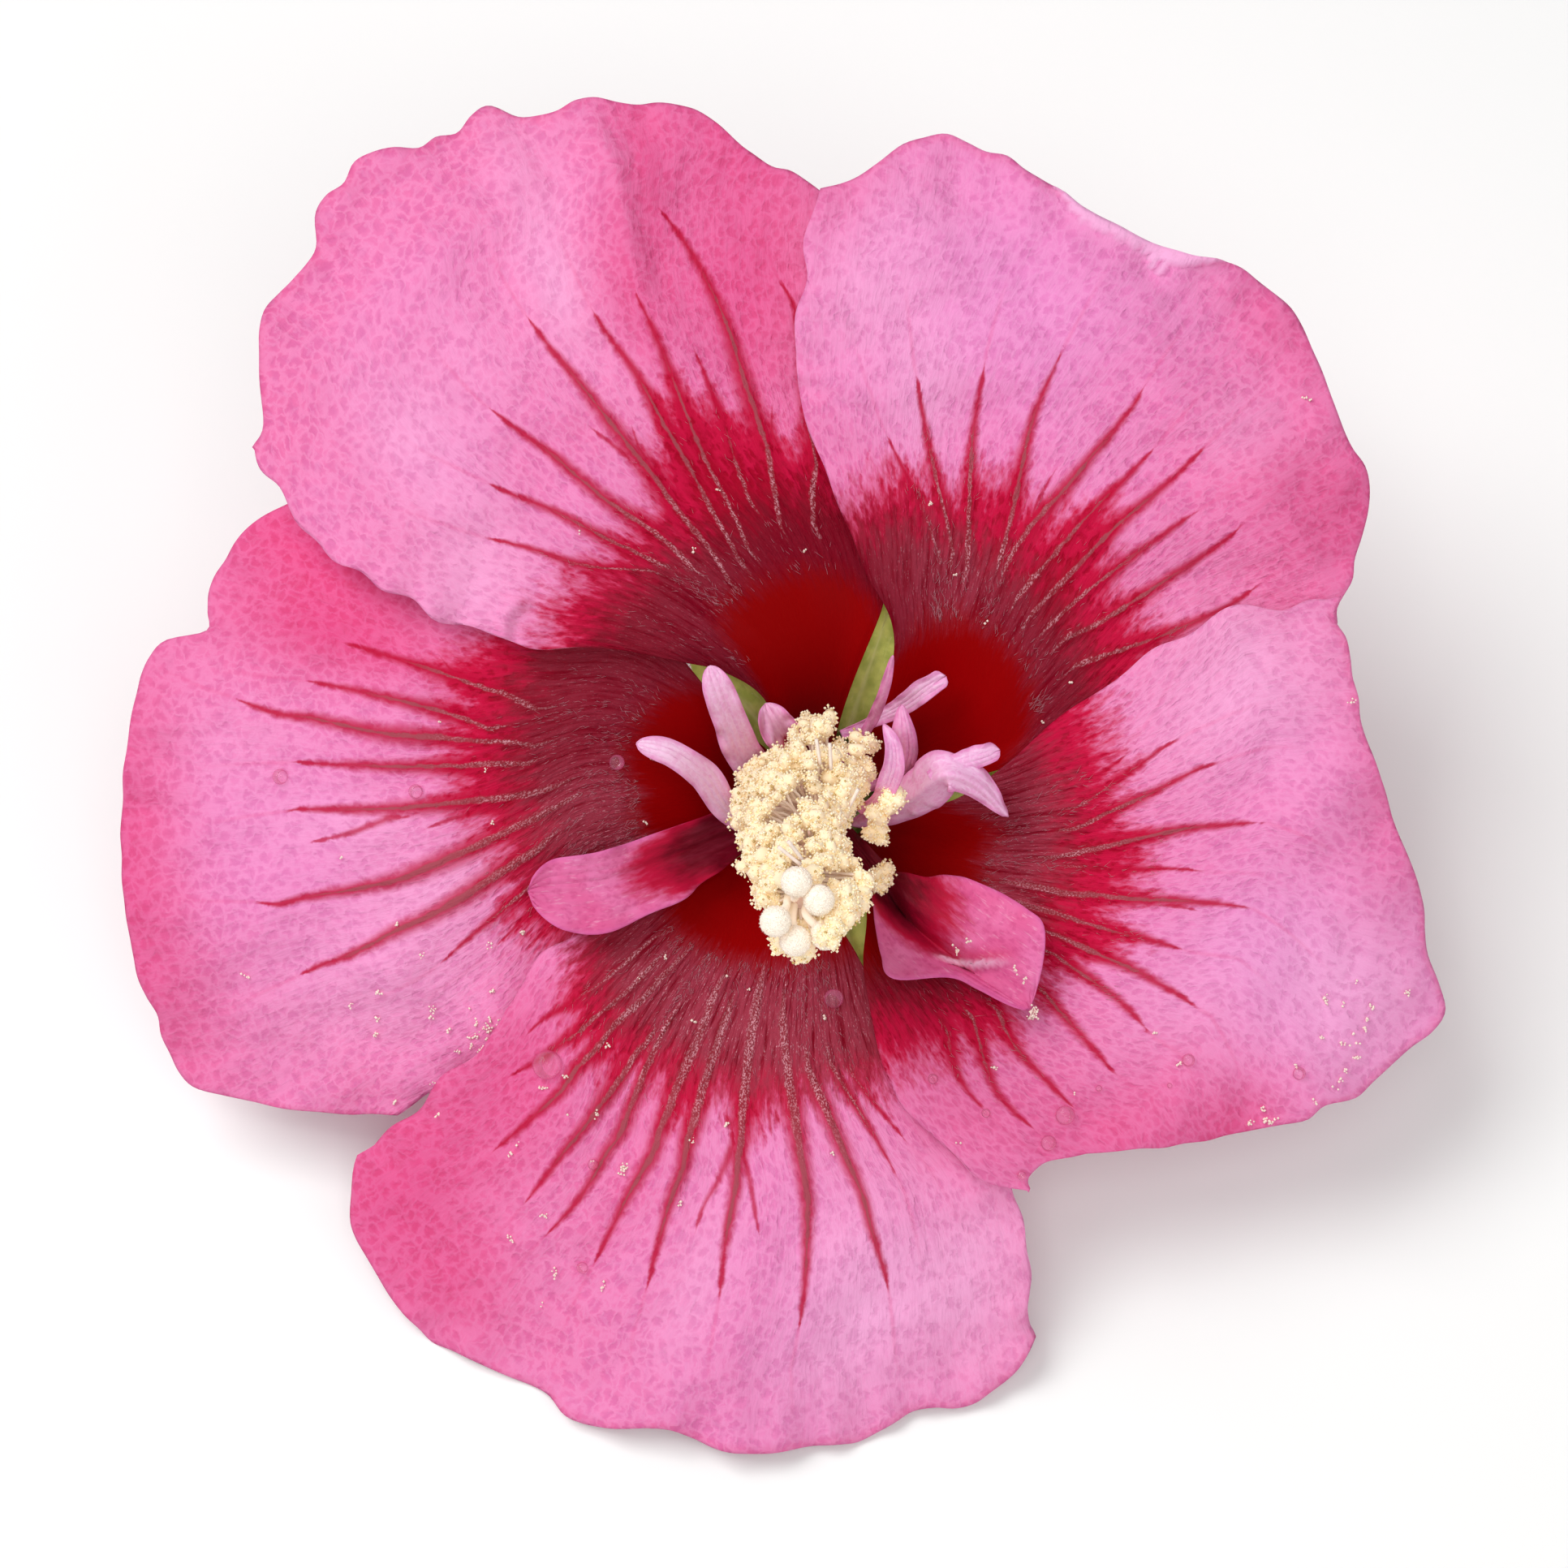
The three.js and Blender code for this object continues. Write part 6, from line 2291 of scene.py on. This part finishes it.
@dataclass(frozen=True)
class Litter:
    """Dew drops and crumbs of pollen that lie on the petals.

    All but perched start with the petal's number, a share across it and a radius. dew ends with a
    drop's size, patches with two spreads and a count of crumbs, and spots and perched, which are
    heaps on petals and at points, with a count of grains.
    """

    dew: tuple[tuple[int, float, float, float], ...] = (
        (3, 0.873, 28.8, 1.15), (4, 0.572, 41.2, 0.6), (4, 0.555, 30.9, 0.55), (4, 0.487, 16.4, 0.6),
        (3, 0.184, 15.4, 0.75), (3, 0.73, 32.7, 0.4), (3, 0.662, 39.9, 0.45), (2, 0.923, 22.5, 0.4),
        (2, 0.832, 29.6, 0.75), (2, 0.89, 30.6, 0.6), (2, 0.688, 33.4, 0.5), (2, 0.899, 26.4, 0.35),
        (2, 0.96, 31.6, 0.35), (2, 0.609, 41.0, 0.5), (2, 0.765, 29.7, 0.25), (2, 0.733, 33.5, 0.2),
    )
    patches: tuple[tuple[int, float, float, float, float, int], ...] = (
        (4, 0.13, 34, 0.07, 4, 16), (4, 0.065, 31, 0.012, 1.0, 18), (3, 0.8, 30, 0.1, 7, 10),
        (3, 0.5, 24, 0.25, 7, 8), (2, 0.52, 44, 0.06, 2, 16), (2, 0.68, 41, 0.02, 1, 7),
        (2, 0.8, 24, 0.12, 5, 6), (4, 0.5, 22, 0.3, 8, 6), (0, 0.5, 30, 0.25, 10, 4), (1, 0.6, 20, 0.2, 5, 5),
    )
    spots: tuple[tuple[int, float, float, int], ...] = (
        (4, 0.289, 46.2, 6), (4, 0.137, 38.6, 9), (4, 0.207, 36.9, 7), (4, 0.154, 33.8, 9),
        (3, 0.867, 30.5, 8), (3, 0.764, 29.4, 9), (3, 0.678, 31.8, 26), (3, 0.752, 38.0, 9),
        (3, 0.769, 41.0, 8), (3, 0.691, 41.4, 10), (3, 0.621, 40.5, 7), (2, 0.637, 18.6, 8),
        (2, 0.699, 33.1, 7), (2, 0.678, 41.3, 10), (2, 0.559, 44.3, 9), (2, 0.498, 43.9, 8),
        (2, 0.469, 46.2, 9), (2, 0.129, 40.1, 6), (1, 0.691, 47.2, 6),
    )
    perched: tuple[tuple[float, float, float, int], ...] = (
        (15.3, -15.9, 26.2, 34), (10.5, -10.6, 25.2, 8), (9.7, -11.3, 24.9, 10), (14.0, -12.8, 26.6, 7),
        (14.6, -13.4, 26.7, 9),
    )
    flatness: float = 0.72
    rim_margin: float = 0.8

    def drops(self) -> MeshData:
        """Every dew drop, a flattened bead seated on its petal.

        Returns:
            The drops, with the fact "rise", from -1 at the foot of each to 1 at its crown.
        """
        seats, sizes = [], []
        for number, share, radius, size in self.dew:
            point, normal = PETALS[number].stand(np.array([share]), np.array([radius]))
            seats.append(point[0] + normal[0] * size * 0.5)
            sizes.append((size, size, size * self.flatness))
        drops = balls(np.array(seats), np.array(sizes), 12, 20)
        each = len(drops.points) // len(seats)
        middle, tall = (np.repeat(np.array(values)[:, 2], each) for values in (seats, sizes))
        drops.facts["rise"] = (drops.points[:, 2] - middle) / tall
        return drops

    def crumbs(self) -> MeshData:
        """Every crumb, a few grains stuck together.

        Returns:
            The grains.
        """
        rng = np.random.default_rng(77)
        seats, sizes = [], []
        for number, share, radius, share_spread, radius_spread, count in self.patches:
            shares = np.clip(rng.normal(share, share_spread, count), 0.02, 0.98)
            edge = np.minimum(PETALS[number].rim_at(shares) - self.rim_margin, 44)
            radii = np.clip(rng.normal(radius, radius_spread, count), CLAW_END, edge)
            point, normal = PETALS[number].stand(shares, radii)
            for i in range(count):
                cluster = rng.integers(2, 7)
                seats.append(point[i] + normal[i] * 0.12 + rng.normal(0, 0.11, (cluster, 3)))
                sizes.append(rng.uniform(0.07, 0.14, cluster))
        heaps = list(self.perched)
        for number, share, radius, count in self.spots:
            point, normal = PETALS[number].stand(np.array([share]), np.array([radius]))
            heaps.append((*(point[0] + normal[0] * 0.15), count))
        for *at, count in heaps:
            drawn_out = unit(rng.normal(size=3) * (1, 1, 0.2)) * rng.normal(0, 0.16, (count, 1))
            seats.append(np.array(at) + drawn_out + rng.normal(0, 0.06 + 0.004 * count, (count, 3)))
            sizes.append(rng.uniform(0.07, 0.13, count))
        return grains(np.concatenate(seats), np.concatenate(sizes))


# ---------------------------------------------------------------- stage


@dataclass(frozen=True)
class Stage:
    """A plain pale floor, soft light and the camera, which looks down the bloom's axis.

    The floor and the lights, each with its place, size and power, are in metres and the row frame, the
    camera in mm and the bloom's frame. The floor lies as far under the row frame's foot as the finest
    rim reaches.
    """

    floor_size: float = 8.0
    floor_height: float = -0.0004
    floor: PlainFinish = PlainFinish((252, 252, 251), 0.9, shine=0.1)
    camera_at: Point = (-3.29, 1.16, 354.0)
    half_view_mm: float = 58.93
    distance_mm: float = 330.0
    sensor_mm: float = 36.0
    sky: float = 0.3
    lights: tuple[tuple[str, Point, float, float], ...] = (
        ("key_light", (-0.4, 0.1, 0.74), 0.5, 4.1),
        ("front_light", (0.0, -0.5, 0.98), 0.6, 3.2),
        ("fill_light", (0.5, -0.6, 0.6), 0.7, 1.5),
    )
    aim: Point = (0, 0, 0.02)

    def build(self) -> None:
        """Makes the floor, the lights, the sky and the camera."""
        self._floor()
        self._lights()
        self._camera()

    def _floor(self) -> None:
        """Lays a square floor at the foot of the frame."""
        half, z = self.floor_size / 2, self.floor_height
        mesh = bpy.data.meshes.new("floor")
        corners = [(-half, -half, z), (half, -half, z), (half, half, z), (-half, half, z)]
        mesh.from_pydata(corners, [], [(0, 1, 2, 3)])
        mesh.materials.append(self.floor.material("floor_paper"))
        floor = bpy.data.objects.new("floor", mesh)
        bpy.context.scene.collection.objects.link(floor)

    def _lights(self) -> None:
        """Hangs a wide key light, a weaker fill, one from the front, and an even pale sky."""
        for name, at, size, power in self.lights:
            light = bpy.data.lights.new(name, "AREA")
            light.size = size
            light.energy = power
            lamp = bpy.data.objects.new(name, light)
            lamp.location = at
            lamp.rotation_euler = (Vector(self.aim) - Vector(at)).to_track_quat("-Z", "Y").to_euler()
            bpy.context.scene.collection.objects.link(lamp)
        world = bpy.data.worlds.new("studio")
        world.use_nodes = True
        background = world.node_tree.nodes["Background"]
        background.inputs["Color"].default_value = (1, 1, 1, 1)
        background.inputs["Strength"].default_value = self.sky
        bpy.context.scene.world = world

    def _camera(self) -> None:
        """Sets the camera over the bloom, square to its axis."""
        data = bpy.data.cameras.new("camera")
        data.sensor_width = self.sensor_mm
        data.lens = self.sensor_mm / 2 * self.distance_mm / self.half_view_mm
        data.clip_start = 0.01
        camera = bpy.data.objects.new("camera", data)
        place = Placement.metres(np.array(self.camera_at)).tolist()
        camera.matrix_world = Matrix.Translation(place) @ Matrix(Placement.matrix().tolist()).to_4x4()
        bpy.context.scene.collection.objects.link(camera)
        bpy.context.scene.camera = camera
        bpy.context.scene.view_settings.view_transform = "Standard"


# ---------------------------------------------------------------- the whole bloom


class Bloom:
    """Builds every piece and gives it its finish."""

    FINISHES: dict[str, Finish] = {
        "petal_satin": PetalFinish(),
        "petaloid_satin": PetaloidFinish(),
        # The calyx green is painted much lighter than the bract and stalk greens, as painted light on lobes
        # that lie in shade under the petals.
        "calyx_green": LeafFinish((212, 220, 118), (176, 192, 88), (236, 238, 168)),
        "bract_green": LeafFinish((116, 136, 62), (86, 110, 42)),
        "stalk_green": LeafFinish((127, 143, 69), (98, 116, 52)),
        "ovary_green": LeafFinish((201, 207, 138), (180, 190, 116)),
        "column_tissue": TissueFinish(),
        # The pollen, anther and stigma finishes glow a little: painted light that brightens them where they
        # lie in shade.
        "pollen_cream": PlainFinish((255, 247, 220), 0.85, painted_glow=0.11),
        "anther_tan": PlainFinish((255, 238, 204), 0.8, painted_glow=0.11),
        "pollen_warm": PlainFinish((255, 240, 194), 0.85, painted_glow=0.11),
        "filament_pale": PlainFinish((252, 236, 222), 0.45),
        "pollen_speck": PlainFinish((214, 184, 124), 0.85),
        "stigma_ivory": PlainFinish((255, 246, 234), 0.8, painted_glow=0.1, sheen=0.2),
        "petal_down": PlainFinish((216, 154, 168), 0.6),
        "calyx_down": PlainFinish((214, 218, 170), 0.6),
        "crumb_pale": PlainFinish((255, 234, 222), 0.8),
        "dew_water": DewFinish(),
    }
    COATS = ("pollen_cream", "anther_tan", "pollen_warm", "filament_pale", "pollen_speck")
    HAIRS_EACH = 900

    def __init__(self) -> None:
        """Makes every material."""
        self.materials = {name: finish.material(name) for name, finish in self.FINISHES.items()}

    def piece(
        self, name: str, data: MeshData, slot: Slot, finishes: str | tuple[str, ...], *replaces: str
    ) -> None:
        """Makes one piece with the finishes of some names, in place of the solids of others."""
        names = (finishes,) if isinstance(finishes, str) else finishes
        make_piece(name, data, [self.materials[finish] for finish in names], slot, replaces)

    def build(self) -> None:
        """Builds the pieces from the stalk up."""
        self._green_parts()
        for petal in PETALS:
            self.piece(petal.name + "_blade", petal.mesh(), Slot.PETAL, "petal_satin", petal.name)
            self.piece(petal.name + "_down", petal.down_hairs(self.HAIRS_EACH), Slot.PETAL, "petal_down")
        for petaloid in PETALOIDS:
            replaces = (petaloid.name,) if petaloid.stands_for else ()
            self.piece(petaloid.name + "_blade", petaloid.mesh(), Slot.PETALOID, "petaloid_satin", *replaces)
        self._stamens()
        litter = Litter()
        self.piece("dew_drops", litter.drops(), Slot.PETAL, "dew_water")
        self.piece("pollen_crumbs", litter.crumbs(), Slot.ANTHER, "crumb_pale")

    def _green_parts(self) -> None:
        """Builds stalk, cup, ovary, lobes and bracts."""
        calyx = Calyx()
        self.piece("stalk_stub", calyx.stalk_mesh(), Slot.STALK, "stalk_green", "stalk")
        self.piece("calyx_cup_wall", calyx.turned(calyx.cup), Slot.CALYX, "calyx_green", "calyx_cup")
        self.piece("ovary_body", calyx.turned(calyx.ovary), Slot.OVARY, "ovary_green", "ovary")
        for i in range(len(calyx.lobe_angles)):
            name = f"calyx_lobe_{i + 1}"
            body, down = calyx.lobe(i)
            self.piece(name + "_leaf", body, Slot.CALYX, "calyx_green", name)
            self.piece(name + "_down", down, Slot.CALYX, "calyx_down")
        for i in range(calyx.bracts):
            name = f"epicalyx_bract_{i + 1}"
            self.piece(name + "_leaf", calyx.bract(i), Slot.BRACT, "bract_green", name)

    def _stamens(self) -> None:
        """Builds the column, the anther tufts and the stigmas."""
        stamens = Stamens()
        self.piece("stamen_column_tube", stamens.column(), Slot.COLUMN, "column_tissue", "stamen_column")
        for i in range(stamens.rings * stamens.per_ring):
            name = f"anther_tuft_{i + 1}"
            self.piece(name + "_pollen", stamens.tuft(i), Slot.ANTHER, self.COATS, name)
        self.piece("anther_clumps", stamens.loose(), Slot.ANTHER, self.COATS)
        for i in range(len(stamens.stigmas)):
            name = f"stigma_{i + 1}"
            self.piece(name + "_head", stamens.stigma(i), Slot.STIGMA, "stigma_ivory", name)


def main() -> None:
    """Builds the bloom and its stage."""
    logging.basicConfig(level=logging.INFO, format="%(name)s: %(message)s")
    Bloom().build()
    Stage().build()


if __name__ == "__main__":
    main()
